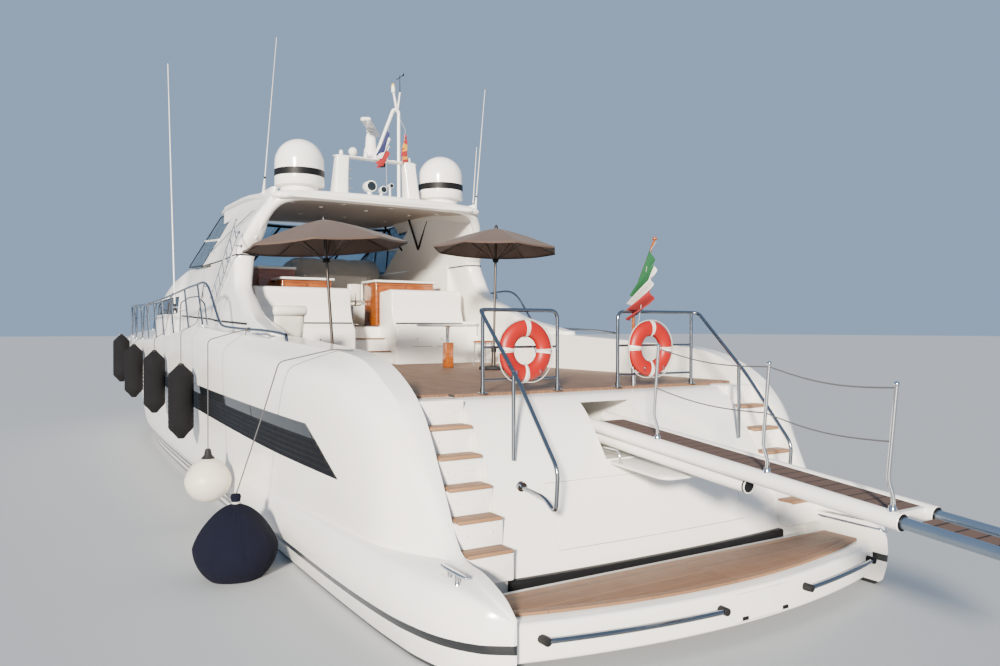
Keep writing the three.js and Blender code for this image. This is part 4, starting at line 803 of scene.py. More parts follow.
def make_stairs():
    for name, side in SIDES:
        body = Piece(f"staircase_{name}", "gelcoat_white", replaces=(f"stairs_{name}",)).use("gelcoat")
        outline = [(-9.9, 1.45), (-9.9, DECK_Z - TEAK), (step_x(0), DECK_Z - TEAK)]
        treads = Piece(f"treads_{name}", "teak").use("tread")
        y0, y1 = side * (STAIR_IN + 0.03), side * (WELL_HALF - 0.03)
        for step in range(1, STEPS + 1):
            top, aft, fore = step_z(step), step_x(step), step_x(step - 1)
            outline += [(fore, top - 0.023), (aft, top - 0.023)]
            treads.use("tread").box((aft - 0.008, y0, top - 0.024), (fore - 0.004, y1, top))
            treads.use("nosing").box((aft - NOSING, y0, top - 0.028), (aft - 0.01, y1, top + 0.001))
            treads.use("lamp")
            for y in (STAIR_IN + 0.12, WELL_HALF - 0.12):
                treads.turned((fore - 0.004, side * y, top + 0.11),
                              [(0, -0.004), (0.012, -0.004), (0.012, 0.006), (0, 0.006)], 14, "X")
        body.plate(outline + [(step_x(STEPS), 0.5), (-11.0, 0.5)], side * (STAIR_IN + FIT),
                   side * (WELL_HALF - FIT))
        body.done(bevel=0.014, segments=3)
        treads.done(bevel=0.004)


def platform_outline(inset, half):
    steps = 48
    fore = TRANSOM_FOOT - 0.06 - inset
    outline = [(fore, -half), (fore, half)]
    for k in range(steps + 1):
        s = 1 - 2 * k / steps
        outline.append((PLATFORM_AFT + inset + PLATFORM_BOW * s * s, half * s))
    return outline


def off_platform(y, out, z):
    return Vector((PLATFORM_AFT + PLATFORM_BOW * (y / (WELL_HALF - 0.015)) ** 2 - out, y, z))


def make_platform():
    half, top, deck = WELL_HALF - 0.015, PLATFORM_Z - TEAK, PLATFORM_Z
    pocket = cutter("black").box((-13, HATCH["y0"] - 0.005, HATCH["low"] - 0.005),
                                 (-12.02, HATCH["y1"] + 0.005, HATCH["high"] + 0.005))
    slab = Piece("platform_moulding", "gelcoat_white", replaces=("swim_platform",)).use("gelcoat")
    slab.slab(platform_outline(0, half), top - PLATFORM_THICK, top)
    slab.done(cuts=[pocket], bevel=0.035, segments=4, angle=40)
    bars = Piece("rub_bars", "stainless")
    for inner, outer in ((0.34, 1.94), (-0.75, -2.0)):
        stops = [off_platform(inner + (outer - inner) * k / 12, 0.06, 0.3) for k in range(13)]
        bars.use("rail_steel").tube(stops, 0.021, 16)
        bars.use("rubber_and_painted_shade")
        for end in (stops[0], stops[-1]):
            bars.rod(end + Vector((0.09, 0, 0)), end - Vector((0.026, 0, 0)), 0.036, 0.033, 20)
    bars.done(bevel=0.004)
    hinges = Piece("flap_hinges", "black_trim", "platform_hatch").use("black")
    for y in (-0.466, 0.05):
        at = off_platform(y, 0.001, HATCH["low"] + 0.03)
        hinges.box((at.x - 0.006, y - 0.035, HATCH["low"] + 0.004),
                   (at.x + 0.01, y + 0.035, HATCH["low"] + 0.035))
    hinges.done(bevel=0.003)
    dress("platform_hatch", "gelcoat", 40)
    frame_teak = Piece("platform_deck", "teak", replaces=("platform_teak",)).use("teak_cross")
    frame_teak.slab(platform_outline(0.2, half - 0.14), top + FIT, PLATFORM_Z)
    frame_teak.use("margin")
    outer, inner = platform_outline(0.135, half - 0.075), platform_outline(0.198, half - 0.138)
    edges = ((outer, top + FIT), (outer, deck), (inner, deck), (inner, top + FIT), (outer, top + FIT))
    frame_teak.loft([[(x, y, z) for x, y in line] for line, z in edges], ends=False)
    frame_teak.done(bevel=0.002, angle=50)
    band = Piece("transom_foot_band", "black_trim").use("black")
    rings = []
    for k in range(25):
        y = (-1 + k / 12) * (STAIR_IN - 0.01)
        x = TRANSOM_FOOT + TRANSOM_BOW * (y / WELL_HALF) ** 2
        rings.append([(x + dx, y, deck + dz) for dx, dz in (
            (-0.061, -0.1), (-0.061, 0.004), (-0.045, 0.018), (0.02, 0.018), (0.02, -0.1))])
    band.loft(rings).done(bevel=0.004, angle=60)


def make_deck():
    dress("aft_deck_teak", "teak")
    dress("garage_door", "gelcoat")
    low, high = DECK_Z - 0.002, DECK_Z + 0.0015
    margin = Piece("deck_margins", "teak").use("margin")
    for _, side in SIDES:
        margin.box((-9.86, side * (WELL_HALF - 0.039), low),
                   (CABINET_AFT - 0.02, side * (WELL_HALF - 0.13), high))
    margin.box((DECK_AFT + 0.001, -STAIR_IN + 0.03, low), (DECK_AFT + 0.09, STAIR_IN - 0.03, high))
    margin.done()


HOUSE = [
    # x, foot y and z, side y and z, roof edge y and z, crown z
    [BULKHEAD_X, 2.23, 2.3, 2.16, 3.6, 2.12, 3.83, 3.85],
    [-0.8, 2.23, 2.3, 2.15, 3.6, 2.11, 3.835, 3.855],
    [1.3, 2.2, 2.25, 2.09, 3.58, 2.04, 3.9, 3.95],
    [2.3, 2.155, 2.2, 2.035, 3.56, 1.96, 3.985, 4.1],
    [3.0, 2.26, 2.2, 2.12, 3.5, 1.98, 3.93, 4.08],
    [4.4, 2.34, 2.2, 2.2, 3.32, 2.02, 3.7, 3.85],
    [6.2, 2.2, 2.2, 2.06, 3.08, 1.84, 3.35, 3.48],
    [7.6, 1.62, 2.2, 1.45, 2.78, 1.2, 2.96, 3.05],
    [8.7, 0.82, 2.25, 0.7, 2.54, 0.54, 2.6, 2.64],
]
HOUSE_ROWS = smooth_rows(HOUSE, 4)


def house_ring(row, wall=0.0, floor=0.0):
    x, foot_y, foot_z, side_y, side_z, roof_y, roof_z, crown = row
    half = [(foot_y - wall, foot_z + floor), (side_y - wall, side_z)]
    corner = (roof_y - wall, roof_z - wall)
    start = (half[1][0] * 0.35 + corner[0] * 0.65, half[1][1] * 0.35 + corner[1] * 0.65)
    end = (corner[0] * 0.9, corner[1] + (crown - roof_z) * 0.1)
    for k in range(5):
        t = k / 4
        half.append(tuple(start[c] * (1 - t) ** 2 + corner[c] * 2 * t * (1 - t) + end[c] * t * t
                          for c in (0, 1)))
    for t in (0.75, 0.5, 0.25):
        half.append(((roof_y - wall) * t, crown - wall - (crown - roof_z) * t ** 1.6))
    port = [(x, y, z) for y, z in half]
    return port + [(x, 0, crown - wall)] + mirrored(port)


def saloon_outline(grow):
    return [(2.75 - grow, 2.96 - grow), (6.45 + 3 * grow, 2.96 - grow), (6.2 + 2 * grow, 3.1 + grow),
            (4.5, 3.3 + grow), (2.75 - grow, 3.34 + grow)]


def make_deckhouse():
    house = Piece("deckhouse_moulding", "gelcoat_white", replaces=("deckhouse",)).use("gelcoat")
    house.loft([house_ring(row) for row in smooth_rows(HOUSE, 5)])
    cabin = [house_ring(row, 0.07, 0.33) for row in HOUSE_ROWS if COCKPIT_FORE + 0.1 < row[0] < 8]
    y0, y1, head = COMPANION
    house.done(cuts=[
        cutter("soffit").loft(cabin),
        cutter().box((BULKHEAD_X - 0.2, -COCKPIT_HALF, SOLE_Z), (COCKPIT_FORE, COCKPIT_HALF, 5)),
        cutter().plate(saloon_outline(0), -3, 3),
        cutter().box((COCKPIT_FORE - 0.1, y0, SOLE_Z + 0.04), (COCKPIT_FORE + 0.6, y1, head)),
    ], angle=32)
    sole = Piece("cockpit_sole", "teak").use("teak")
    sole.box((BULKHEAD_X + 0.004, -COCKPIT_HALF + 0.02, SOLE_Z - 0.01),
             (COCKPIT_FORE - 0.01, COCKPIT_HALF - 0.02, SOLE_Z + 0.004))
    sole.done()
    for name, side in SIDES:
        pane = Piece(f"saloon_pane_{name}", "dark_glass",
                     replaces=(f"saloon_window_{name}",)).use("dark_glass")
        rows = []
        for k in range(41):
            x = 2.68 + (6.6 - 2.68) * k / 40
            top = 3.35 - (x - 2.7) * 0.022 if x < 4.5 else 3.31 - (x - 4.5) * 0.12
            top = max(min(top, 2.93 + (6.62 - x) * 0.5), 2.95)
            rows.append([(x, side * (house_side(x, z) - off), z) for z, off in (
                (2.94, 0.03), (2.94, 0.012), ((2.94 + top) / 2, 0.012), (top, 0.012), (top, 0.03))])
        pane.loft(rows).done(angle=40)
        trim = Piece(f"saloon_trim_{name}", "black_trim").use("black")
        outline = saloon_outline(0)
        loop = []
        for (x0, z0), (x1, z1) in zip(outline, outline[1:] + outline[:1]):
            loop += [(x0 + (x1 - x0) * k / 8, z0 + (z1 - z0) * k / 8) for k in range(8)]
        trim.tube([(x, side * (house_side(x, z) - 0.006), z) for x, z in loop], 0.012, 8, loop=True)
        for x in (3.7, 4.7, 5.5):
            trim.tube([(x, side * (house_side(x, z) - 0.01), z) for z in (2.96, 3.1, 3.24)], 0.014, 6)
        trim.done()


def house_side(x, z):
    """Half breadth of the deckhouse's side at a height."""
    foot_y, foot_z, side_y, side_z = row_at(HOUSE_ROWS, x)[1:5]
    return foot_y + (side_y - foot_y) * (z - foot_z) / (side_z - foot_z)


LEG = [
    # z, inner and outer half breadth
    (2.3, 2.285, 2.56), (3.04, 2.12, 2.37), (3.79, 1.955, 2.285), (4.2, 1.87, 2.16), (4.4, 1.825, 2.06),
    (ROOF_LIP_Z, 1.77, 1.88), (4.9, 1.74, 1.845),
]
ARCH_AFT = [(-4.2, 4.72), (-4.155, 4.645), (-4.07, 4.47), (-3.94, 4.1), (-3.66, 3.86), (-3.64, 3.74),
            (-3.74, 3.53), (-3.89, 3.28), (-4.43, 3.04), (-5.1, 2.79), (-5.8, 2.66), (-6.35, 2.56)]


def leg_at(z):
    """Inner and outer half breadth of an arch's leg at a height."""
    return row_at(LEG, z)[1:]


LEG_HEIGHTS = (2.3, 2.45, 2.56, 2.6, 2.66, 2.72, 2.79, 2.86, 2.95, 3.04, 3.12, 3.2, 3.28, 3.4, 3.53, 3.64,
               3.74, 3.8, 3.858, 3.862, 3.9, 3.98, 4.1, 4.24, 4.39, 4.5, 4.6, 4.7, 4.78, 4.84)
LEG_LOW_FORE = -1.0
LEG_FORE = [(0.345, 3.862), (-0.45, 4.24), (-0.78, 4.39), (-1.7, 4.85)]


GLASS_FOOT_Y, GLASS_LEAN = 2.045, 0.26
FAIRED_FROM, FAIRED_LONG = -3.3, 2.4


def leg_side(x, z):
    """Half breadth of the arch's outer face; towards the bow it runs into the house and the side glass."""
    outer = leg_at(z)[1]
    flush = 2.06 - (z - SILL_Z) * GLASS_LEAN if z > SILL_Z + 0.01 else house_side(x, z) + 0.004
    t = max(0, min(1, (x - FAIRED_FROM) / FAIRED_LONG))
    return outer + (min(flush, outer) - outer) * t * t * (3 - 2 * t)


def leg_ring(z, side, aft_curve):
    """An arch leg's level section: its rounded aft edge, its outer face, its inner face."""
    aft = along_curve(aft_curve, z)
    fore = along_curve(LEG_FORE, z) if z > 3.86 else LEG_LOW_FORE
    inner, outer = leg_at(z)
    middle, half = (inner + outer) / 2, (outer - inner) / 2
    nose = 0.12
    ring = []
    for k in range(9):
        turn = pi * k / 8
        ring.append((aft + nose * (1 - sin(turn) ** 0.8 if 0 < k < 8 else 1), middle - half * cos(turn), z))
    for k in range(1, 12):
        x = aft + nose + (fore - aft - nose) * k / 11
        ring.append((x, leg_side(x, z), z))
    for k in range(6):
        ring.append((fore + (aft + nose - fore) * k / 6, inner, z))
    return [(x, side * y, z) for x, y, z in ring]


# Port half of the rounded band along the arch's aft edge and the hardtop's lip
HOOP_LINE = [(-3.87, 2.035, 4.05), (-3.98, 1.955, 4.3), (-4.08, 1.865, 4.5), (-4.18, 1.73, 4.64),
             (-4.26, 1.52, 4.71), (-4.31, 1.2, 4.735), (-4.335, 0.7, 4.745), (-4.34, 0.0, 4.748)]


def make_arches():
    aft = flat_curve(ARCH_AFT, 4)
    for name, side in SIDES:
        leg = Piece(f"arch_leg_{name}", "gelcoat_white", replaces=(f"arch_{name}",)).use("gelcoat")
        leg.loft([leg_ring(z, side, aft) for z in LEG_HEIGHTS])
        corner = [(1.85, 4.44), (1.8, 4.52), (1.755, 4.585), (1.69, 4.645), (1.6, 4.69), (1.48, 4.715),
                  (1.48, 4.76), (1.84, 4.76)]
        fillet = []
        for k in range(25):
            x = -4.22 + k * 0.145
            shrink = min(1, max(0.15, (k + 0.6) / 2)) if k < 3 else 1
            rise = roof_at(x)[2] - ROOF_LIP_Z
            fillet.append([(x, side * (1.84 + (y - 1.84) * shrink), 4.72 + rise + (z - 4.72) * shrink)
                           for y, z in corner])
        leg.loft(fillet)
        leg.done(angle=50)
        trim = Piece(f"arch_trim_{name}", "black_trim").use("black")
        wave = [(-3.5, 3.795), (-3.0, 3.785), (-2.4, 3.79), (-1.6, 3.82), (-0.9, 3.84), (-0.3, 3.85),
                (0.4, 3.87)]
        ring = leg_ring(3.795, side, aft)
        around = [Vector((p[0] - 0.002, p[1], p[2])) for p in ring[21:26] + ring[:9]]
        around += [Vector((x, side * (leg_side(x, z) + 0.001), z)) for x, z in wave]
        trim.tube(around, 0.012, 8)
        stripe = []
        for k in range(31):
            x = -5.1 + 0.25 * k
            z = 2.72 + 0.03 * (x + 3.5)
            face = leg_side if x < LEG_LOW_FORE else house_side
            stripe.append((x, side * (face(x, z) + 0.001), z))
        trim.tube(stripe, 0.017, 8)
        trim.done()


def make_hoop():
    hoop = Piece("arch_hoop", "gelcoat_white").use("gelcoat")
    half = curve_through(HOOP_LINE, 6)
    path = half + mirrored(half[:-1])
    hoop.tube(path, [0.078 if abs(p.y) < 1.75 else 0.078 - 0.12 * max(0, 4.45 - p.z) for p in path], 24)
    hoop.done(angle=60)


LADDER_WIDE = 0.27


def make_arch_rails():
    """The ladder on the port arch and the hand rails along both."""
    rails = Piece("arch_rails", "stainless").use("stainless")
    (foot_x, foot_z), (head_x, head_z), y = (-2.02, 3.13), (-4.01, 4.305), 2.36
    run, rise = head_x - foot_x, head_z - foot_z
    length = hypot(run, rise)

    def on_ladder(t, side, inward=0.0):
        return Vector((foot_x + run * t - LADDER_WIDE * side * rise / length, y - inward,
                       foot_z + rise * t + LADDER_WIDE * side * run / length))

    for side in (0, 1):
        rails.tube([on_ladder(t, side) for t in (0, 0.5, 1)], 0.014, 12)
        for t in (0.53, 0.86):
            rails.rod(on_ladder(t, side), on_ladder(t, side, 0.12), 0.011)
            rails.turned(on_ladder(t, side, 0.105), [(0, -0.01), (0.03, -0.01), (0.03, 0.01), (0, 0.01)],
                         16, "Y")
    for k in range(7):
        t = (k + 0.5) / 7
        rails.rod(on_ladder(t, 0), on_ladder(t, 1), 0.011)
    for _, side in SIDES:
        hand = [(-3.8, 4.5), (-2.68, 4.2), (-1.58, 3.98)]
        path = [(x, side * (leg_at(z)[1] + 0.05), z) for x, z in hand]
        rails.tube(curve_through(path, 5), 0.011, 10)
        for k in range(5):
            x = -3.75 + k * 0.53
            z = 4.5 + (3.98 - 4.5) * (x + 3.8) / 2.22
            rails.rod((x, side * (leg_at(z)[1] - 0.02), z), (x, side * (leg_at(z)[1] + 0.05), z), 0.008)
    rails.done()


ROOF = [
    # x, half width, then z of the underside, the edge and the crown
    [-4.37, 1.66, ROOF_LIP_Z + 0.015, 4.745, 4.8], [-4.31, 1.82, ROOF_LIP_Z, 4.765, 4.835],
    [-4.1, 1.88, ROOF_LIP_Z, 4.79, 4.865],
    [-3.4, 1.9, 4.73, 4.86, 4.925], [-2.6, 1.9, 4.82, 4.935, 4.985], [-1.2, 1.89, 4.855, 4.955, 5.005],
    [-0.3, 1.8, 4.85, 4.94, 4.985], [0.35, 1.4, 4.85, 4.925, 4.955],
]
ROOF_ROWS = smooth_rows(ROOF, 4)
ROOF_DISH = 0.06


def roof_ring(row):
    x, half, under, edge, crown = row
    dish = ROOF_DISH * min(1, max(0, (x + 4.3) / 0.22))
    thick = edge - under
    side = [(half * 0.5, under + dish * 0.87), (half - 0.14, under + dish * 0.2), (half - 0.07, under),
            (half - 0.022, under + 0.14 * thick), (half - 0.006, under + 0.38 * thick),
            (half - 0.016, under + 0.62 * thick), (half - 0.05, under + 0.86 * thick),
            (half - 0.12, edge + 0.002), (half - 0.26, edge + 0.36 * (crown - edge)),
            (half * 0.5, crown - 0.17 * (crown - edge))]
    port = [(x, y, z) for y, z in side]
    return [(x, 0, under + dish)] + port + [(x, 0, crown)] + mirrored(port)


def roof_at(x):
    """The hardtop's row at a station."""
    return row_at(ROOF_ROWS, x)


def roof_top(x, y):
    _, half, _, edge, crown = roof_at(x)
    t = min(abs(y) / half, 1)
    return crown - (crown - edge - 0.022) * max(0, (t - 0.5) / 0.4) if t > 0.5 else crown - 0.012 * t * 2


def make_hardtop():
    roof = Piece("hardtop_moulding", "gelcoat_white", replaces=("hardtop",)).use("gelcoat")
    x, half, under, edge, crown = ROOF_ROWS[0]
    lip = [[x - out, half - pinch, under + 0.6 * pinch, edge - 0.3 * pinch, crown - pinch]
           for out, pinch in ((0.03, 0.02), (0.022, 0.011), (0.01, 0.004))]
    roof.loft([roof_ring(row) for row in lip + ROOF_ROWS])
    for foot, head in WHIPS:
        foot, head = Vector(foot), Vector(head)
        base = foot.lerp(head, 0.12)
        roof.use("white_plastic").tube([foot, foot.lerp(base, 0.25), base], [0.03, 0.024, 0.012], 14)
        roof.tube([base, head], [0.009, 0.004], 8)
        roof.use("black").rod(foot.lerp(base, 0.96), foot.lerp(base, 1.06), 0.016)
    roof.done(angle=42)


def make_lining():
    soffit = Piece("hardtop_lining", "taupe_canvas").use("soffit")
    rings = []
    for k in range(31):
        x = -4.16 + k * (0.2 + 4.16) / 30
        _, half, under, _, _ = roof_at(x)
        reach = half - 0.17 - 0.1 * max(0, 1 - (x + 4.16) / 0.25)
        shares = [1 - j / 8 for j in range(17)]
        cross = [(reach * t, under + 0.052 - 0.056 * (reach * abs(t) / (half - 0.1)) ** 1.6) for t in shares]
        rings.append([(x, y, z) for y, z in cross] + [(x, y, z + 0.012) for y, z in reversed(cross)])
    soffit.loft(rings).done(angle=50)
    lamps = Piece("ceiling_lamps", "stainless")
    for x in (-3.5, -2.3, -1.1):
        for y in (-1.35, -0.45, 0.45, 1.35):
            under = roof_at(x)[2] + 0.06 - 0.056 * (abs(y) / 1.8) ** 1.6
            lamps.use("stainless").turned((x, y, under - 0.012),
                                          [(0, -0.006), (0.045, -0.006), (0.05, 0.002), (0, 0.002)], 24)
            lamps.use("lamp").turned((x, y, under - 0.019),
                                     [(0, -0.002), (0.03, -0.002), (0.032, 0.001), (0, 0.001)], 24)
    lamps.done()


ROOF_GEAR_FOOT, ROOF_GEAR_Z = 4.85, 4.87


def make_roof_gear():
    x = ROOF_GEAR_X
    gear = Piece("roof_gear", "gelcoat_white")
    for y, high, post, length, aft_r, fore_r in ROOF_GEAR:
        z = ROOF_GEAR_Z + high
        gear.use("white_plastic").rod((x, y, ROOF_GEAR_FOOT), (x, y, z), post * 1.1, post * 0.8)
        gear.tube([(x - length / 2, y, z), (x, y, z + 0.004), (x + length / 2, y, z + 0.008)],
                  [aft_r, (aft_r + fore_r) / 2, fore_r], 22)
        gear.use("dark_glass").rod((x - length / 2 - 0.004, y, z), (x - length / 2 + 0.01, y, z),
                                   aft_r * 0.82)
    gear.done(bevel=0.004, angle=40)
    hatch = Piece("roof_hatches", "gelcoat_white")
    for material, grow, low, high in (("gelcoat", 0.08, -0.03, 0.028), ("dark_glass", 0, 0.02, 0.034)):
        hatch.use(material)
        for y in (-0.75, 0.75):
            top = roof_top(-1.6, y)
            hatch.slab([(x, y + out) for x, out in (
                (-2.12 - grow, -0.34 - grow), (-1.08 + grow, -0.34 - grow), (-1.08 + grow, 0.34 + grow),
                (-2.12 - grow, 0.34 + grow))], top + low, top + high)
    hatch.done(bevel=0.01, segments=3)


def make_glazing():
    dress("windscreen_frame", "black", 50)
    dress("windscreen_glass", "clear_glass")
    struts = Piece("side_struts", "black_trim")

    def at(x, z, side, out=0.0):
        return Vector((x, side * (GLASS_FOOT_Y + out - (z - SILL_Z) * GLASS_LEAN - max(x, 0) * 0.02), z))

    for name, side in SIDES:
        dress(f"side_glass_{name}", "tinted_glass")
        struts.use("black")
        edge = [(0.39, 3.9), (-0.425, 4.257), (-0.755, 4.405), (-1.63, 4.83), (-0.18, 4.83), (2.23, 4.02),
                (2.2, 3.98), (0.39, 3.9)]
        for (x0, z0), (x1, z1) in zip(edge, edge[1:]):
            struts.tube([at(x0, z0, side), at((x0 + x1) / 2, (z0 + z1) / 2, side), at(x1, z1, side)],
                        0.016, 8)
        for (x0, z0), (x1, z1) in (((0.35, 3.95), (-0.35, 4.8)), ((1.1, 3.96), (0.5, 4.55))):
            struts.tube([at(x0, z0, side, -0.012), at(x1, z1, side, -0.012)], 0.018, 8)
        struts.use("gelcoat")
        low = [(-0.66, 4.335), (0.1, 4.39), (0.9, 4.455)]
        struts.tube([at(x, z, side, 0.004) for x, z in low], 0.024, 8)
    struts.use("black")
    for side in (1, -1):
        struts.tube([(-1.7, side * 1.84, 4.25), (-1.72, side * 1.62, 4.86)], 0.022, 8)
        struts.tube([(-1.7, side * 1.84, 4.25), (-2.37, side * 1.76, 4.84)], 0.022, 8)
        struts.tube([(-0.9, side * 1.84, 4.3), (-0.36, side * 1.66, 4.86)], 0.022, 8)
    struts.done()


CABINET = [(-2.853, 3.29), (-3.05, 3.3), (-3.32, 3.32), (-3.405, 3.3), (-3.435, 3.24), (-3.43, 3.05),
           (-3.44, 2.95), (-3.48, 2.83), (-3.545, 2.7), (-3.62, 2.63), (-3.66, 2.58), (-3.66, 2.3),
           (-3.655, DECK_Z - 0.02), (-2.853, DECK_Z - 0.02)]


def make_cockpit_units():
    smooth = flat_curve(CABINET[:-1], 3) + [CABINET[-1]]
    unit = Piece("cockpit_units", "gelcoat_white", replaces=("cockpit_moulding",)).use("gelcoat")
    unit.plate(smooth, PASSAGE[1], COCKPIT_HALF)
    unit.plate(smooth, -COCKPIT_HALF, PASSAGE[0])
    for _, side in SIDES:
        for out, top in ((WELL_HALF - 0.005, 2.48), (WELL_HALF - 0.05, 2.74)):
            unit.box((CABINET_AFT + 0.004 + (WELL_HALF - out) * 0.1, side * (COCKPIT_HALF - 0.05),
                      DECK_Z - 0.015), (BULKHEAD_X - 0.004, side * out, top))
    rise = (SOLE_Z - DECK_Z) / 3
    for k, aft in ((1, STEP_AFT), (2, STEP_AFT + 0.29)):
        unit.box((aft, PASSAGE[0] - 0.02 - 0.01 * k, DECK_Z - 0.012 - 0.002 * k),
                 (BULKHEAD_X - 0.004 - 0.002 * k, PASSAGE[1] + 0.02 + 0.01 * k, DECK_Z + k * rise - 0.012))
    unit.done(bevel=0.03, segments=4, angle=40)
    trim = Piece("cockpit_unit_trim", "black_trim")
    trim.use("tread")
    for k, aft in ((1, STEP_AFT), (2, STEP_AFT + 0.29), (3, BULKHEAD_X - 0.01)):
        top = DECK_Z + k * rise
        trim.box((aft - 0.02, PASSAGE[0] + 0.02, top - 0.014), (aft + 0.24, PASSAGE[1] - 0.02, top + 0.004))
    trim.use("black")
    for y0, y1 in ((PASSAGE[1] + 0.03, COCKPIT_HALF - 0.03), (-COCKPIT_HALF + 0.03, PASSAGE[0] - 0.03)):
        trim.box((-3.556, y0, 2.687), (-3.51, y1, 2.715))
    for y in (0.72, 1.3, -1.0, -1.5):
        trim.box((-3.667, y - 0.2, 2.28), (-3.655, y + 0.2, 2.285))
    trim.use("stainless")
    for y in (0.9, 1.35, -0.9, -1.4):
        trim.rod((-3.67, y, 2.42), (-3.655, y, 2.42), 0.018)
    trim.done(bevel=0.004)
    dress("companion_door", "varnish")
    x = COCKPIT_FORE - 0.035
    door = Piece("companion_door_fittings", "stainless", "companion_door").use("stainless")
    door.tube([(x, 0.78, 2.95), (x, 0.78, 3.2)], 0.01, 10)
    for z in (2.96, 3.19):
        door.rod((x, 0.78, z), (COCKPIT_FORE + 0.004, 0.78, z), 0.008)
    door.done()


BARS = {"port": (0.36, 1.34), "starboard": (-1.7, -0.42)}


def make_bars():
    for name, (y0, y1) in BARS.items():
        bar = Piece(f"wet_bar_{name}", "varnished_wood", replaces=(f"bar_{name}",)).use("varnish")
        bar.box((-2.78, y0 + 0.04, SOLE_Z + FIT), (-2.2, y1 - 0.04, 3.481))
        bar.use("white_plastic").box((-2.84, y0, 3.478), (-2.14, y1, 3.52))
        if name == "port":
            bar.use("varnish").box((-2.19, 0.9, SOLE_Z + FIT), (-1.0, 1.56, 3.7))
            bar.use("white_plastic").box((-2.2, 0.87, 3.695), (-0.96, 1.59, 3.745))
        bar.done(bevel=0.012, segments=3)
        face = Piece(f"wet_bar_{name}_face", "varnished_wood")
        width = (y1 - y0 - 0.14) / 2
        for k in range(2):
            a = y0 + 0.07 + k * width
            face.use("black").box((-2.783, a + 0.012, SOLE_Z + 0.06), (-2.779, a + width - 0.012, 3.43))
            face.use("varnish").box((-2.8, a + 0.02, SOLE_Z + 0.068), (-2.778, a + width - 0.02, 3.422))
            face.use("stainless").rod((-2.822, a + width / 2, 3.33), (-2.8, a + width / 2, 3.33), 0.012)
        face.done(bevel=0.006)


def pad_rings(lo, hi):
    """Closed rings of a crowned pad between two corners; its sides pull in between the corners."""
    (x0, y0, z0), (x1, y1, z1) = lo, hi
    rings = []
    layers, axis_steps, pull = 8, 10, 0.06
    for r in range(layers + 1):
        t = r / layers
        bulge = sin(pi * t) ** 0.45
        z = z0 + (z1 - z0) * t
        inset = (1 - bulge) * min(x1 - x0, y1 - y0) * 0.12
        ring = []
        for k in range(axis_steps * 4):
            side, s = divmod(k, axis_steps)
            u = s / axis_steps
            px, py = ((u, 0), (1, u), (1 - u, 1), (0, 1 - u))[side]
            dip = pull * sin(pi * u) * (0.5 + 0.5 * bulge) * min(x1 - x0, y1 - y0) * 0.25
            cx, cy = (0.5 - px) * 2, (0.5 - py) * 2
            corner = (abs(cx) * abs(cy)) ** 6 * 0.06
            x = x0 + inset + (x1 - x0 - 2 * inset) * px
            y = y0 + inset + (y1 - y0 - 2 * inset) * py
            if side in (0, 2):
                y += dip if side == 0 else -dip
            else:
                x += dip if side == 3 else -dip
            ring.append((x + cx * corner, y + cy * corner, z))
        rings.append(ring)
    return rings


def cushion(name, lo, hi, crown=0.03, replaces=()):
    """A stuffed vinyl pad whose top is crowned."""
    (x0, y0, _), (x1, y1, z1) = lo, hi
    piece = Piece(name, "cushion_white", YACHT, replaces).use("vinyl")
    rings = pad_rings(lo, hi)
    top = rings[-1]
    cx, cy = (x0 + x1) / 2, (y0 + y1) / 2
    for s in (0.8, 0.6, 0.4, 0.2, 0.04):
        rise = crown * (1 - s * s) ** 0.8
        rings.append([(cx + (x - cx) * s, cy + (y - cy) * s, z1 + rise) for x, y, _ in top])
    piece.loft(rings)
    obj = piece.done(angle=60)


def make_helm():
    floor = SOLE_Z + FIT
    base = Piece("helm_base", "gelcoat_white").use("gelcoat")
    base.plate([(0.3, floor), (0.26, 3.5), (0.42, 3.86), (0.9, 3.95), (COCKPIT_FORE - 0.006, 3.9),
                (COCKPIT_FORE - 0.006, floor)], -1.76, 0.11)
    base.done(bevel=0.03, segments=3)
    cover = Piece("console_cover", "grey_cover", replaces=("helm_console",)).use("cover")
    profile = [(0.21, 3.46), (0.19, 3.6), (0.215, 3.85), (0.26, 3.98), (0.36, 4.12), (0.5, 4.175),
               (0.75, 4.18), (1.05, 4.13), (1.5, 4.02), (2.0, 3.95), (2.2, 3.93)]
    rings = []
    line = curve_through(profile, 4)
    widths = 44
    for k in range(widths + 1):
        y = -1.82 + 1.99 * k / widths
        panel = abs(sin(pi * (k / widths) * 3))
        end = min(k, widths - k) / 4
        puff = -0.035 * (1 - min(1, panel * 2.2)) - 0.05 * max(0, 1 - end)
        ring = [(p.x - puff * (0.9 if p.x < 0.4 else 0.0), y, p.y + puff * (0.25 if p.x < 0.3 else 1))
                for p in line]
        rings.append(ring + [(ring[-1][0], y, 3.8), (0.34, y, 3.8), (0.3, y, 3.46)])
    cover.loft(rings)
    cover.done(angle=60)
    cushion("helm_seat_pad", (-0.7, -1.2, 3.12), (-0.07, 0.3, 3.27), 0.03, replaces=("helm_seat",))
    cushion("helm_seat_back", (-0.765, -1.19, 3.24), (-0.62, 0.29, 3.72), 0.02)
    seat = Piece("helm_seat_base", "gelcoat_white").use("gelcoat")
    seat.box((-0.74, -1.17, floor), (-0.3, 0.27, 3.125)).done(bevel=0.03, segments=3)


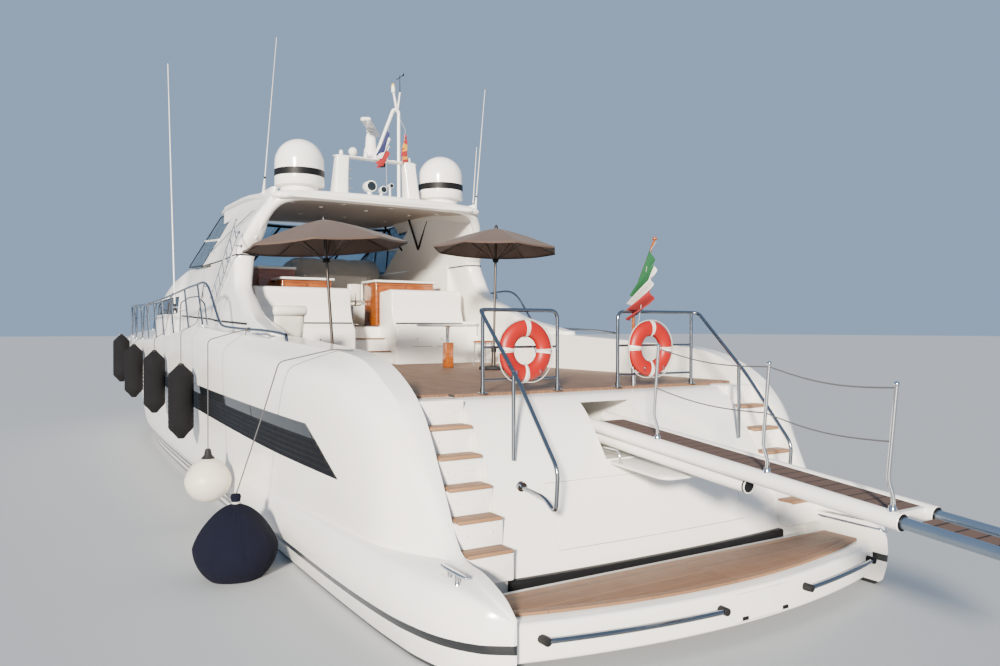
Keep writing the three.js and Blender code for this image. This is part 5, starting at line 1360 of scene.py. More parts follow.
def make_bar_stool():
    x, y = -1.82, -0.35
    stool = Piece("bar_stool_frame", "stainless", replaces=("bar_stool",)).use("stainless")
    stool.turned((x, y, 0), [(0, SOLE_Z + FIT), (0.19, SOLE_Z + FIT), (0.185, SOLE_Z + 0.02),
                             (0.05, SOLE_Z + 0.04), (0.028, SOLE_Z + 0.06), (0.028, 3.06), (0, 3.06)], 32)
    stool.tube([(x - 0.15, y, 3.07), (x - 0.185, y, 3.1), (x - 0.187, y, 3.3)], 0.014, 10)
    stool.done()
    cushion("bar_stool_pad", (x - 0.17, y - 0.17, 3.055), (x + 0.18, y + 0.17, 3.125), 0.02)
    cushion("bar_stool_back", (x - 0.2, y - 0.155, 3.16), (x - 0.14, y + 0.155, 3.47), 0.01)


def make_table():
    x, y, top = -5.15, -0.75, 2.685

    def oval(grow, z):
        return [(x + (0.33 + grow) * boxy(c, 0.55), y + (0.5 + grow) * boxy(s, 0.55), z)
                for c, s in circle(64)]

    table = Piece("table", "gelcoat_white", replaces=("deck_table",)).use("white_plastic")
    table.loft([oval(-0.05, top - 0.045), oval(-0.012, top - 0.04), oval(0, top - 0.022),
                oval(-0.003, top - 0.008), oval(-0.02, top)])
    table.use("stainless").turned((x, y, 0), [(0, 2.28), (0.06, 2.285), (0.036, 2.31), (0.036, top - 0.05),
            (0.09, top - 0.045), (0, top - 0.04)], 32)
    table.use("varnish").box((x - 0.075, y - 0.065, DECK_Z + FIT), (x + 0.075, y + 0.065, 2.38))
    table.done(bevel=0.006, angle=45)


def make_parasols():
    for name, x, y, apex_x, apex_y, rim, apex in (("port", -7.35, 1.95, -7.29, 2.07, 3.62, 3.945),
            ("starboard", -6.1, -1.05, -6.05, -1.13, 3.85, 4.18)):
        foot = DECK_Z + FIT
        up = Vector((apex_x - x, apex_y - y, apex - foot))
        turn = Matrix.Translation((apex_x, apex_y, apex)) @ up.to_track_quat("Z", "Y").to_matrix().to_4x4()

        def on(z):
            return Vector((x, y, foot)) + up * ((z - foot) / (apex - foot))

        pole = Piece(f"parasol_stand_{name}", "aluminium", replaces=(f"parasol_pole_{name}",))
        pole.use("rubber_and_painted_shade").turned((x, y, 0), [(0, foot), (0.22, foot), (0.23, foot + 0.015),
                (0.215, foot + 0.05), (0.06, foot + 0.062), (0, foot + 0.062)], 40)
        pole.use("pole").rod(on(foot + 0.05), on(foot + 0.3), 0.034)
        pole.rod(on(foot + 0.28), on(apex - 0.034), 0.019)
        pole.use("black").rod(on(foot + 0.27), on(foot + 0.33), 0.042)
        pole.turned(on(rim - 0.18), [(0, -0.03), (0.04, -0.03), (0.045, 0.0), (0.03, 0.03), (0, 0.03)], 20)
        pole.shift = turn
        pole.use("pole")
        drop = rim - apex
        ribs = 8
        for c, s in circle(ribs):
            pole.tube([(r * c, r * s, drop * r ** 1.25 - 0.034) for r in (0.03, 0.3, 0.6, 0.85, 0.985)],
                      0.006, 8)
            pole.tube([(0.04 * c, 0.04 * s, drop - 0.17), (0.5 * c, 0.5 * s, drop * 0.42 - 0.034)], 0.0055, 8)
        pole.turned((0, 0, 0), [(0, -0.01), (0.03, -0.01), (0.026, 0.02), (0.012, 0.045), (0, 0.05)], 16)
        pole.done(angle=45)
        make_parasol_cloth(name, turn, drop, ribs)


def make_parasol_cloth(name, turn, drop, ribs):
    """Two lofted layers that hang between the ribs, joined by a hem."""
    cloth = Piece(f"parasol_cloth_{name}", "taupe_canvas", replaces=(f"parasol_canopy_{name}",)).use("canvas")
    cloth.shift = turn
    sides, layers, scallop, sag = 96, 16, 0.022, 0.016
    rings = []
    for low in (0.0, -0.003):
        band = []
        for j in range(layers + 1):
            r = max(j / layers, 0.012)
            ring = []
            for k, (c, s) in enumerate(circle(sides)):
                part = (k % (sides // ribs)) / (sides // ribs)
                between = sin(pi * part)
                reach = r * (cos(pi / ribs) / cos(pi / ribs * (2 * part - 1)) * 0.75 + 0.25)
                reach -= scallop * between * (j / layers) ** 6
                z = drop * r ** 1.25 - sag * between * sin(pi * r * 0.75)
                ring.append((reach * c, reach * s, z + low - 0.008))
            band.append(ring)
        rings.append(band)
    upper_rings, lower_rings = rings
    hem = [(px, py, pz - 0.024) for px, py, pz in upper_rings[-1]]
    hem_in = [(px * 0.997, py * 0.997, pz) for px, py, pz in hem]
    inner_edge = [(px * 0.997, py * 0.997, pz) for px, py, pz in lower_rings[-1]]
    cloth.loft(upper_rings + [hem, hem_in, inner_edge] + lower_rings[-2::-1])
    obj = cloth.done(angle=50)


def make_domes():
    for name, side in SIDES:
        y, r = side * 1.3, 0.4
        dome = Piece(f"satellite_dome_{name}", "gelcoat_white", replaces=(f"dome_{name}",)).use("gelcoat")
        profile = [(0, 4.83), (0.3, 4.84), (0.31, 4.915), (0.335, 4.928), (r - 0.012, 4.932), (r, 4.945),
                   (r, 5.06), (r, 5.32)]
        for k in range(1, 13):
            turn = k * pi / 24
            profile.append((r * cos(turn), 5.32 + r * sin(turn)))
        dome.turned((-3.8, y, 0), profile, 56)
        dome.use("black").turned((-3.8, y, 0), [(r - 0.01, 5.085), (r + 0.0025, 5.09), (r + 0.0025, 5.2),
                (r - 0.01, 5.205)], 56)
        dome.done(angle=50)


MAST_X = -3.9
RADAR_AT = (-3.1, -0.234, 6.18)
RADAR_HEADING = -31


def make_mast():
    x = MAST_X
    mast = Piece("radar_mast", "gelcoat_white", replaces=("mast",)).use("gelcoat")
    legs = [(4.82, 0.535, 0.785, 0.155), (5.0, 0.53, 0.765, 0.135), (5.25, 0.52, 0.74, 0.11),
            (5.42, 0.505, 0.725, 0.092), (5.5, 0.5, 0.72, 0.085)]
    for _, side in SIDES:
        rings = []
        for z, y0, y1, deep in legs:
            cy, half = side * (y0 + y1) / 2, (y1 - y0) / 2
            rings.append([(x + deep * boxy(c, 0.28), cy + half * boxy(s, 0.28), z)
                          for c, s in circle(24, 0.01)])
        mast.loft(rings)
    bar = []
    for k in range(21):
        y = -0.75 + 0.075 * k
        end = min(1, (0.76 - abs(y)) / 0.06) ** 0.5
        bar.append([(x + 0.09 * end * c, y, 5.503 + 0.024 * end * s) for c, s in circle(16)])
    mast.loft(bar)
    ry = RADAR_AT[1]
    for off in (-0.1, 0.1):
        mast.tube([(x - 0.02, ry + off, 5.5), (-3.6, ry + off * 0.9, 5.6), (-3.3, ry + off * 0.8, 5.71),
                   (-3.0, ry + off * 0.6, 5.725)], 0.034, 14)
    mast.plate([(-3.9, 5.52), (-3.3, 5.725), (-2.97, 5.74), (-2.97, 5.7), (-3.29, 5.69), (-3.85, 5.49)],
               ry - 0.09, ry + 0.09)
    mast.turned((RADAR_AT[0], ry, 0), [(0, 5.71), (0.14, 5.715), (0.13, 5.78), (0.125, 5.86), (0.105, 5.9),
                                       (0.1, 5.95), (0.09, 6.1), (0.07, 6.17), (0, 6.18)], 36)
    mast.tube([(x, 0.03, 5.5), (x, -0.33, 6.43), (x, -0.43, 6.41), (x, -0.43, 4.9)], 0.028, 16, bend=0.09)
    mast.use("white_plastic")
    mast.rod((x, -0.4, 6.39), (x, -0.33, 6.74), 0.024, 0.02)
    mast.rod((x, -0.405, 6.39), (x, -0.455, 6.74), 0.018, 0.014)
    mast.rod((x, -0.33, 6.72), (x, -0.325, 6.83), 0.036, 0.034)
    mast.use("lamp_yellow").rod((x, -0.325, 6.83), (x, -0.324, 6.87), 0.03, 0.02)
    mast.use("black").rod((x, -0.455, 6.73), (x, -0.45, 7.04), 0.007, 0.005)
    mast.tube([(x - 0.18, -0.45, 7.0), (x + 0.14, -0.45, 7.0)], 0.006, 8)
    mast.plate([(x - 0.18, 6.98), (x - 0.08, 7.0), (x - 0.18, 7.03)], -0.452, -0.448)
    for y in (-0.62, 0.18, 0.62):
        mast.use("white_plastic").turned((x, y, 0), [(0, 5.51), (0.03, 5.52), (0.035, 5.56), (0.03, 5.6),
                (0, 5.62)], 20)
    mast.use("white_plastic").ball((x - 0.02, 0.42, 5.6), 0.075)
    mast.use("black").turned((x - 0.05, -0.1, 0), [(0, 5.38), (0.05, 5.39), (0.06, 5.45), (0.02, 5.48),
            (0, 5.49)], 20)
    mast.use("stainless")
    for k in range(3):
        z = 4.98 + 0.16 * k
        mast.tube([(x - 0.04, 0.53, z), (x - 0.04, 0.44, z), (x + 0.06, 0.44, z), (x + 0.06, 0.53, z)],
                  0.008, 8)
    mast.done(angle=45)


def make_radar():
    bar = Piece("radar_bar", "gelcoat_white", "radar_scanner", replaces=("radar_scanner",)).use("gelcoat")
    bar.shift = Matrix.Translation(RADAR_AT) @ Matrix.Rotation(radians(RADAR_HEADING), 4, "Z")
    rings = []
    for k in range(31):
        x = -0.62 + 1.24 * k / 30
        end = min(1.0, (0.62 - abs(x)) / 0.05) ** 0.5 if abs(x) < 0.62 else 0.05
        rings.append([(x, 0.093 * end * boxy(c, 0.6), 0.095 + 0.04 * end * boxy(s, 0.6))
                      for c, s in circle(20)])
    bar.loft(rings)
    bar.turned((0, 0, 0), [(0, 0.006), (0.085, 0.006), (0.08, 0.04), (0.05, 0.062), (0, 0.065)], 28)
    bar.done(angle=50)


GUARD = [
    # x, inset from the ridge, height over the ridge
    (-7.34, 0.04, -0.06), (-7.26, 0.045, 0.075), (-5.0, 0.05, 0.075), (-4.68, 0.06, 0.13),
    (-3.95, 0.07, 0.65),
    (-3.1, 0.08, 0.7), (-1.0, 0.09, 0.76), (1.2, 0.09, 0.78), (3.4, 0.09, 0.78), (5.6, 0.08, 0.79),
    (7.6, 0.07, 0.8), (9.2, 0.06, 0.8), (10.4, 0.05, 0.8), (11.15, 0.06, 0.79),
]
STANCHIONS = (-3.25, -2.15, -0.7, 0.4, 1.4, 2.5, 3.5, 4.9, 6.0, 7.0, 8.0, 8.9, 9.8, 10.6)
TALL_POLE = ((-1.18, 2.815, 2.87), (-0.42, 2.815, 7.67))


def guard_at(x):
    """The guard rail's point to port at a station."""
    _, inset, high = row_at(GUARD, x)
    y, z = ridge_at(x)
    return Vector((x, y - inset, z + high))


def flange(piece, at, radius, thick):
    """The round foot of a post."""
    piece.turned(at, [(0, 0), (radius, 0), (radius, thick * 0.6), (radius * 0.8, thick), (0, thick)], 24)


def make_guard_rail():
    rail = Piece("bow_rail", "stainless", replaces=("guard_rail",)).use("rail_steel")
    port = [guard_at(row[0]) for row in GUARD]
    nose = Vector((11.48, 0, port[-1].z + 0.01))
    route = curve_through(port + [nose] + mirrored(port), 8)
    rail.tube(route, RAIL_R, 14)
    low = [guard_at(x) - Vector((0, -0.012, 0.36)) for x in (-2.2, -0.7, 1.4, 3.5, 6.0, 8.0, 9.8, 10.6)]
    for side in (1, -1):
        rail.tube([(p.x - 0.06, side * p.y, p.z) for p in curve_through(low, 4)], 0.006, 8)
        for x in STANCHIONS:
            head = guard_at(x)
            y, z = ridge_at(x - 0.3)
            foot = Vector((x - 0.3, side * (y - 0.1), z - 0.01))
            rail.rod(foot - Vector((0, 0, 0.02)), (head.x, side * head.y, head.z), 0.016, sides=12)
            rail.rod(foot - Vector((0, 0, 0.02)), foot + Vector((0.008, 0, 0.045)), 0.02, sides=14)
            flange(rail, foot - Vector((0, 0, 0.004)), 0.05, 0.016)
    rail.use("white_plastic").tube([TALL_POLE[0], TALL_POLE[1]], [0.014, 0.007], 12)
    rail.use("black").rod((-1.17, 2.815, 2.93), (-1.15, 2.815, 3.06), 0.022, sides=14)
    rail.use("stainless").rod((-1.2, 2.76, 3.0), (-1.15, 2.84, 3.0), 0.02, sides=12)
    rail.done()


HOOP = ((-3.05, 2.62, 2.75), (-2.9, 2.62, 3.02), (-2.3, 2.62, 3.16), (-1.5, 2.62, 3.17), (-0.6, 2.62, 3.1),
        (-0.5, 2.62, 2.5))


def make_side_hoops():
    hoops = Piece("side_deck_hoops", "stainless").use("rail_steel")
    for _, side in SIDES:
        path = [(x, side * y, z) for x, y, z in HOOP]
        foot = [(path[0][0] - 0.05, path[0][1], 2.5)]
        hoops.tube(foot + path, 0.014, 12, bend=0.1)
    hoops.done()


def make_deck_chair():
    """Folded lounger on the port side of the aft deck."""
    profile = [(-4.99, 2.86), (-4.93, 2.62), (-4.83, 2.42), (-4.7, 2.3), (-4.45, 2.27), (-4.2, 2.3)]
    line = curve_through(profile, 5)
    pad = Piece("lounger_pad", "cushion_white").use("vinyl")
    rings = []
    for k in range(17):
        y = 1.59 + 0.45 * k / 16
        edge = min(1, min(k, 16 - k) / 2.2) ** 0.5 if 0 < k < 16 else 0.25
        ring = []
        for sign in (1, -1):
            row = []
            for i, p in enumerate(line):
                a, b = line[max(i - 1, 0)], line[min(i + 1, len(line) - 1)]
                along = (b - a).normalized()
                thick = 0.032 * edge * (1 + 0.25 * abs(sin(i * 0.62)))
                row.append((p.x - sign * along.y * thick, y, p.y + sign * along.x * thick))
            ring += row if sign == 1 else row[::-1]
        rings.append(ring)
    pad.loft(rings)
    pad.done(angle=60)
    roll = Piece("lounger_roll", "cushion_white").use("vinyl")
    roll.turned((-5.0, 0, 2.87), [(0.02, 1.565), (0.06, 1.575), (0.077, 1.6), (0.08, 1.8), (0.077, 2.03),
                                  (0.06, 2.055), (0.02, 2.065)], 32, "Y")
    roll.done(angle=60)
    legs = Piece("lounger_frame", "aluminium").use("aluminium")
    for y in (1.62, 2.01):
        legs.tube([(-4.25, y, 2.28), (-4.6, y, 2.25), (-4.85, y, 2.42), (-4.97, y, 2.8)], 0.012, 10,
                  bend=0.06)
        legs.tube([(-4.3, y, 2.27), (-4.35, y, DECK_Z + 0.012)], 0.012, 10)
        legs.tube([(-4.75, y, 2.3), (-4.8, y, DECK_Z + 0.012)], 0.012, 10)
    for x in (-4.35, -4.8):
        legs.rod((x, 1.62, DECK_Z + 0.012), (x, 2.01, DECK_Z + 0.012), 0.012)
    legs.done()


def make_aft_rails():
    for name, side, inner, outer in (("port", 1, 0.5, 1.39), ("starboard", -1, -0.3, -1.39)):
        x, y, foot = RAIL_X, side * 1.45, DECK_Z + FIT
        rail = Piece(f"stern_rail_{name}", "stainless", replaces=(f"aft_rail_{name}",)).use("rail_steel")
        wall = transom_x(1.45, 1.1)
        rail.rod((wall - 0.012, y, 1.2), (wall + 0.02, y, 1.21), 0.045)
        rail.tube([(wall + 0.02, y, 1.2), (-11.16, y, 1.17), (-11.32, y, 1.06), (-11.35, y, 1.43),
                   (-10.75, y, 2.13), (-10.06, y, 2.78), (x, outer, 2.79), (x, inner, 2.79),
                   (x, inner, foot)], RAIL_R, 16, bend=0.09)
        rail.rod((x, outer, foot), (x, outer, 2.785), RAIL_R)
        for z in (2.42, 2.1):
            rail.rod((x, inner, z), (x, outer, z), 0.012)
        rail.rod((-10.66, y, 1.42), (-10.66, y, 2.225), RAIL_R)
        for flange_y in (inner, outer):
            flange(rail, (x, flange_y, DECK_Z), 0.055, 0.01)
            rail.rod((x, flange_y, DECK_Z), (x, flange_y, DECK_Z + 0.06), 0.026)
        rail.done()


BUOY_BAND = 0.13  # half the angle of a white band, in radians


def make_lifebuoys():
    for name, y in (("port", 0.95), ("starboard", -0.69)):
        centre = Vector((RAIL_X - RAIL_R - 0.066, y, 2.385))
        ring = Piece(f"lifebuoy_ring_{name}", "lifebuoy_orange", replaces=(f"lifebuoy_{name}",))
        major, minor, steps, sides = 0.222, 0.085, 96, 24

        def around(turn, out=0.0):
            return centre + Vector((0, (major + out) * cos(turn), (major + out) * sin(turn)))

        rings, marks = [], []
        for k in range(steps):
            turn = tau * k / steps
            away = Vector((0, cos(turn), sin(turn)))
            band = abs(((turn + pi / 4) % (pi / 2)) - pi / 4) < BUOY_BAND
            r = minor + (0.0012 if band else 0)
            rings.append([around(turn) + away * r * c * 0.98 + Vector((r * s * 0.72, 0, 0))
                          for c, s in circle(sides)])
            marks.append(band)
        for k in range(steps):
            ring.use("buoy_white" if marks[k] else "buoy_red").loft([rings[k], rings[(k + 1) % steps]],
                    ends=False)
        ring.use("rope_white")
        for quarter in range(4):
            a = quarter * pi / 2
            stops = []
            for k in range(13):
                t = k / 12
                turn = a + t * pi / 2
                slack = sin(pi * t)
                stops.append(around(turn, minor + 0.004 + 0.02 * slack) + Vector((-0.012, 0, -0.012 * slack)))
            ring.tube(stops, 0.0055, 8)
            away = Vector((0, cos(a), sin(a)))
            wrap = minor + 0.003
            ring.tube([around(a) + away * wrap * c + Vector((wrap * 0.74 * s, 0, 0)) for c, s in circle(20)],
                      0.006, 6, loop=True)
        ring.done(angle=60)
        strap = Piece(f"lifebuoy_holder_{name}", "stainless").use("stainless")
        for off in (-0.14, 0.14):
            strap.tube([(RAIL_X, y + off, 2.42), (RAIL_X - 0.05, y + off, 2.4),
                        (RAIL_X - 0.16, y + off, 2.15), (RAIL_X - 0.175, y + off, 2.2)], 0.006, 8)
        strap.done()


CLOTH = 0.0012


def make_ensign():
    head, foot = Vector((-10.25, -0.6, 3.56)), Vector((-9.955, -0.56, DECK_Z + FIT))
    staff = Piece("flag_staff", "varnished_wood", replaces=("ensign_staff",)).use("varnish")
    bend = Vector((-9.955, -0.56, DECK_Z + 0.97))
    staff.tube([foot, bend, bend.lerp(head, 0.5), head], [0.018, 0.018, 0.016, 0.013], 16)
    staff.ball(head + Vector((-0.006, -0.001, 0.012)), 0.027, 0.8)
    staff.use("stainless").rod(foot, foot + Vector((0, 0, 0.22)), 0.024)
    staff.rod(bend - Vector((0, 0, 0.05)), bend + Vector((0, 0, 0.03)), 0.024)
    staff.use("rope_white").tube([head - Vector((0.03, 0, 0.02)), (-10.19, -0.575, 3.42),
                                  (-10.1, -0.57, 2.98), (-9.985, -0.575, 2.5)], 0.003, 6)
    staff.done()
    limp_flag("flag_cloth", ("ensign",), bend.lerp(head, 0.86), bend.lerp(head, 0.16), 0.64, (-0.022, 0.022),
              0.13, ("flag_green", "flag_white", "flag_red"), False)


def limp_flag(name, replaced, corner, low, fly, off, lean, colors, lengthwise):
    """A flag that hangs limp from its hoist, in folds; lengthwise bands run along its fly."""
    cloth = Piece(name, "ensign_cloth", replaces=replaced)
    drop = low - corner

    def point(u, v):
        hoist = corner + drop * v
        ripple = 0.128 * sin(u * 26 + v * 2.5) + 0.023 * sin(u * 47 + v * 5)
        fold = fly * ripple * min(1, u * 4) * (0.35 + 0.65 * v)
        sway = -0.08 * fly * sin(pi * min(u * 1.3, 1)) * (1 - v)
        return Vector((hoist.x + off[0] + sway + lean * u * v + 0.03 * fly * sin(u * 11 + 1),
                       hoist.y + off[1] + fold, hoist.z - fly * 0.94 * u * (1 - 0.42 * v)))

    third = 1 / len(colors)
    for k, color in enumerate(colors):
        cloth.use(color)
        part = (k * third, (k + 1) * third)
        us, vs = (((0, 1), part) if lengthwise else (part, (0, 1)))
        steps_u, steps_v = (100, 5) if lengthwise else (40, 12)
        rings = []
        for i in range(steps_u + 1):
            u = us[0] + (us[1] - us[0]) * i / steps_u
            row = [point(u, vs[0] + (vs[1] - vs[0]) * j / steps_v) for j in range(steps_v + 1)]
            rings.append(row + [p + Vector((0, CLOTH, 0)) for p in reversed(row)])
        cloth.loft(rings)
    obj = cloth.done(angle=70)


def make_guest_flags():
    limp_flag("guest_flag_aft", (), Vector((-4.0, -0.19, 6.05)), Vector((-4.0, -0.02, 5.62)), 0.5, (0, 0),
              0.0, ("flag_blue", "flag_white", "flag_red"), False)
    limp_flag("guest_flag_fore", (), Vector((-3.98, -0.52, 6.05)), Vector((-3.98, -0.5, 5.72)), 0.45, (0, 0),
              0.0, ("flag_red", "flag_yellow", "flag_red"), True)
    lines = Piece("mast_halyards", "stainless").use("rope_white")
    for x, y in ((-4.0, -0.19), (-3.98, -0.52)):
        lines.tube([(-3.905, -0.36, 6.42), (x, y, 6.08), (x, y + 0.02 - 0.08 * y, 5.5), (-3.93, y, 5.0),
                    (-3.91, y, 4.92)], 0.003, 6)
    lines.done()


GANGWAY_Z, GANGWAY_SLOPE, GANGWAY_PIVOT, GANGWAY_TIP = 1.655, 5.3, -10.1, -13.64
TUBE_OFF, TUBE_R = 0.198, 0.062
REACH = 1.85
BORE_FORE = -11.25


def gangway_slope():
    """Tilts what is drawn level to the gangway's slope at rest."""
    pivot = Matrix.Translation((GANGWAY_PIVOT, 0, GANGWAY_Z))
    return pivot @ Matrix.Rotation(radians(-GANGWAY_SLOPE), 4, "Y") @ pivot.inverted()


def make_gangway():
    y, z, pivot, tip = GANGWAY_Y, GANGWAY_Z, GANGWAY_PIVOT, GANGWAY_TIP
    walk = Piece("gangway_walk", "gelcoat_white", "gangway", replaces=("gangway",)).use("gelcoat")
    walk.shift = gangway_slope()
    left, right = y - TUBE_OFF, y + TUBE_OFF
    pipe_y, pipe_z = right - 0.07, z - 0.12
    for side in (-1, 1):
        at = (0, y + side * TUBE_OFF, z)
        outer = [(0.05, tip + 0.004), (TUBE_R - 0.005, tip), (TUBE_R, tip + 0.006), (TUBE_R, pivot + 0.07),
                 (TUBE_R - 0.012, pivot + 0.08), (0, pivot + 0.08)]
        inside = [(0, BORE_FORE), (0.048, BORE_FORE), (0.048, tip + 0.003)]
        walk.turned(at, inside + outer, 28, "X")
        walk.use("black").turned(at, [(0.049, tip - 0.001), (0.0585, tip - 0.001), (0.0585, tip + 0.012),
                                      (0.049, tip + 0.012), (0.049, tip - 0.001)], 28, "X")
        walk.use("gelcoat")
    low, wide = z - 0.128, TUBE_OFF - 0.053
    walk.box((-12.25, y - wide, low), (pivot + 0.02, y + wide, z - 0.03))
    walk.box((-12.2, y - wide - 0.005, z - 0.055), (pivot - 0.32, y + wide + 0.005, z - 0.03))
    walk.rod((-12.3, pipe_y, pipe_z), (-10.25, pipe_y, pipe_z), 0.0605, sides=28)
    walk.use("black").turned((0, pipe_y, pipe_z), [(0, -12.302), (0.052, -12.302), (0.0615, -12.29),
            (0.0615, -12.275), (0, -12.275)], 28, "X")
    walk.box((-12.253, y - 0.12, low + 0.02), (-12.247, y + 0.06, z - 0.05))
    walk.use("stainless").rod((pivot, y - 0.31, z - 0.04), (pivot, y + 0.31, z - 0.04), 0.024)
    walk.box((pivot - 0.32, left, z - 0.04), (pivot - 0.28, right, z + 0.02))
    walk.use("aluminium").box((tip + 0.06, left + 0.05, z + 0.012), (pivot - 0.3, left + 0.06, z + 0.046))
    walk.box((tip + 0.06, right - 0.06, z + 0.012), (pivot - 0.3, right - 0.05, z + 0.046))
    walk.use("white_plastic").box((tip + 0.055, left + 0.051, z + 0.012),
                                  (tip + 0.1, right - 0.051, z + 0.047))
    walk.use("grip").box((tip + 0.09, left + 0.052, z + 0.014), (pivot - 0.3, right - 0.052, z + 0.0485))
    ribs = 26
    for k in range(1, ribs):
        x = tip + 0.09 + (pivot - 0.3 - tip - 0.09) * k / ribs
        walk.use("black").box((x - 0.004, left + 0.056, z + 0.047), (x + 0.004, right - 0.056, z + 0.0492))
    walk.use("lamp")
    for k in range(5):
        x = tip + 0.4 + k * 0.7
        walk.rod((x, right - 0.049, z + 0.03), (x, right - 0.053, z + 0.03), 0.008, sides=10)
    tops = []
    walk.use("stainless")
    for x in (-11.28, -12.52, -13.56):
        out = right + 0.03
        walk.tube([(x, right, z + 0.053), (x, right, z + 0.16), (x + 0.03, out, z + 0.26),
                   (x + 0.03, out, z + 0.9)], 0.0145, 14, bend=0.05)
        walk.turned((x, right, z + 0.055), [(0, 0), (0.032, 0), (0.03, 0.02), (0.02, 0.04), (0, 0.04)], 18)
        walk.ball((x + 0.03, out, z + 0.905), 0.019)
        tops.append(Vector((x + 0.03, out, z + 0.88)))
    walk.use("rope_dark")
    for high, sag in ((0.0, 0.05), (0.36, 0.045)):
        for a, b in zip(tops, tops[1:]):
            stops = [a.lerp(b, k / 10) - Vector((0, 0, high + sag * sin(pi * k / 10))) for k in range(11)]
            walk.tube(stops, 0.0055, 8)
    walk.done()


def make_gangway_slide():
    y, z, tip = GANGWAY_Y, GANGWAY_Z, GANGWAY_TIP
    slide = Piece("gangway_slide", "stainless", "gangway_extension",
                  replaces=("gangway_extension",)).use("blue_steel")
    slide.shift = gangway_slope()
    end = tip - REACH
    left, right = y - TUBE_OFF, y + TUBE_OFF
    for side in (-1, 1):
        at = y + side * TUBE_OFF
        slide.rod((tip + 0.26, at, z), (end, at, z), 0.041, sides=28)
    tread = 0.128
    slide.use("aluminium")
    for side in (-1, 1):
        slide.box((end + 0.02, y + side * (tread - 0.02), z - 0.024),
                  (tip - 0.04, y + side * tread, z + 0.004))
    slide.use("grip").box((end + 0.01, y - tread + 0.018, z - 0.022),
                          (tip - 0.04, y + tread - 0.018, z + 0.001))
    slide.use("black")
    for k in range(1, 14):
        x = end + (tip - end) * k / 14
        slide.box((x - 0.004, y - tread + 0.022, z), (x + 0.004, y + tread - 0.022, z + 0.0035))
    slide.use("rubber_and_painted_shade").rod((end, left - 0.03, z - 0.02), (end, right + 0.03, z - 0.02), 0.06, sides=28)
    slide.use("stainless")
    for side in (-1, 1):
        slide.rod((end, y + side * (TUBE_OFF + 0.026), z - 0.02),
                  (end, y + side * (TUBE_OFF + 0.038), z - 0.02), 0.034, sides=20)
    slide.done()


FLAP_FORE, FLAP_LONG = -10.712, 0.79


def make_recess_flap():
    """The lid of the gangway's recess, which lies under it, with its bent arm."""
    y, fore = GANGWAY_Y, FLAP_FORE
    x0, x1 = fore - FLAP_LONG, fore
    flap = Piece("recess_flap", "gelcoat_white", replaces=("gangway_flap",)).use("white_plastic")
    for layer, inset, thick in ((0, 0.0, 0.026), (1, 0.03, 0.004)):
        rings = []
        for corner_z in (0.0, thick):
            ring = []
            for cx, cy, a0 in ((x0 + 0.12, y + 0.185, 90), (x0 + 0.12, y - 0.18, 180),
                               (x1 - 0.05, y - 0.25, 270), (x1 - 0.05, y + 0.255, 0)):
                r = 0.12 if cx < x0 + 0.2 else 0.05
                for k in range(7):
                    a = radians(a0 + 90 * k / 6)
                    px, py = cx + (r - inset) * cos(a), cy + (r - inset) * sin(a)
                    slope = 1.307 + (px - fore) * (0.045 / FLAP_LONG)
                    ring.append((px, py, slope + corner_z + (0.026 if layer else 0)))
            rings.append(ring)
        flap.loft(rings)
    arm = y + 0.295
    flap.use("stainless").tube([(fore - 0.17, arm, 1.315), (fore - 0.15, arm, 1.45), (fore + 0.12, arm, 1.45),
                                (fore + 0.15, arm, GANGWAY_RECESS["low"] + FIT)], 0.009, 12, bend=0.06)
    flap.turned((fore - 0.17, arm, 1.325), [(0, 0), (0.022, 0), (0.02, 0.012), (0, 0.012)], 16)
    flap.done(bevel=0.006, angle=50)


FENDERS = (("1", 4.4, 1.9), ("2", 2.0, 1.7), ("3", -1.05, 1.64), ("4", -3.84, 1.5))
ROPE_R = 0.0065


def cord_to_rail(x, y, eye_z, body_name):
    """A fender's taut rope from its eye over the bulwark to turns round the rail."""
    ridge_y, ridge_z = ridge_at(x)
    rail = guard_at(x)
    at = rail.y
    path = rounded([(x, y, eye_z - 0.03), (x, y, ridge_z - 0.06), (x, ridge_y + 0.06, ridge_z + 0.06),
                    (x, at + RAIL_R + 0.012, rail.z - 0.01)], 0.06, 6)
    piece = Piece(f"lanyard_{body_name}", "fender_white").use("rope_dark")
    piece.tube(path, ROPE_R, 10)
    turns = []
    for k in range(49):
        a = tau * 2.5 * k / 48
        turns.append((x - 0.02 + 0.04 * k / 48, at + (RAIL_R + 0.008) * cos(a),
                      rail.z + (RAIL_R + 0.008) * sin(a)))
    piece.tube(turns, ROPE_R, 8)
    piece.tube([(x + 0.015, at + RAIL_R + 0.01, rail.z), (x + 0.02, at + RAIL_R + 0.02, rail.z - 0.12),
                (x + 0.03, at + RAIL_R + 0.016, rail.z - 0.2)], ROPE_R, 8)
    piece.done()


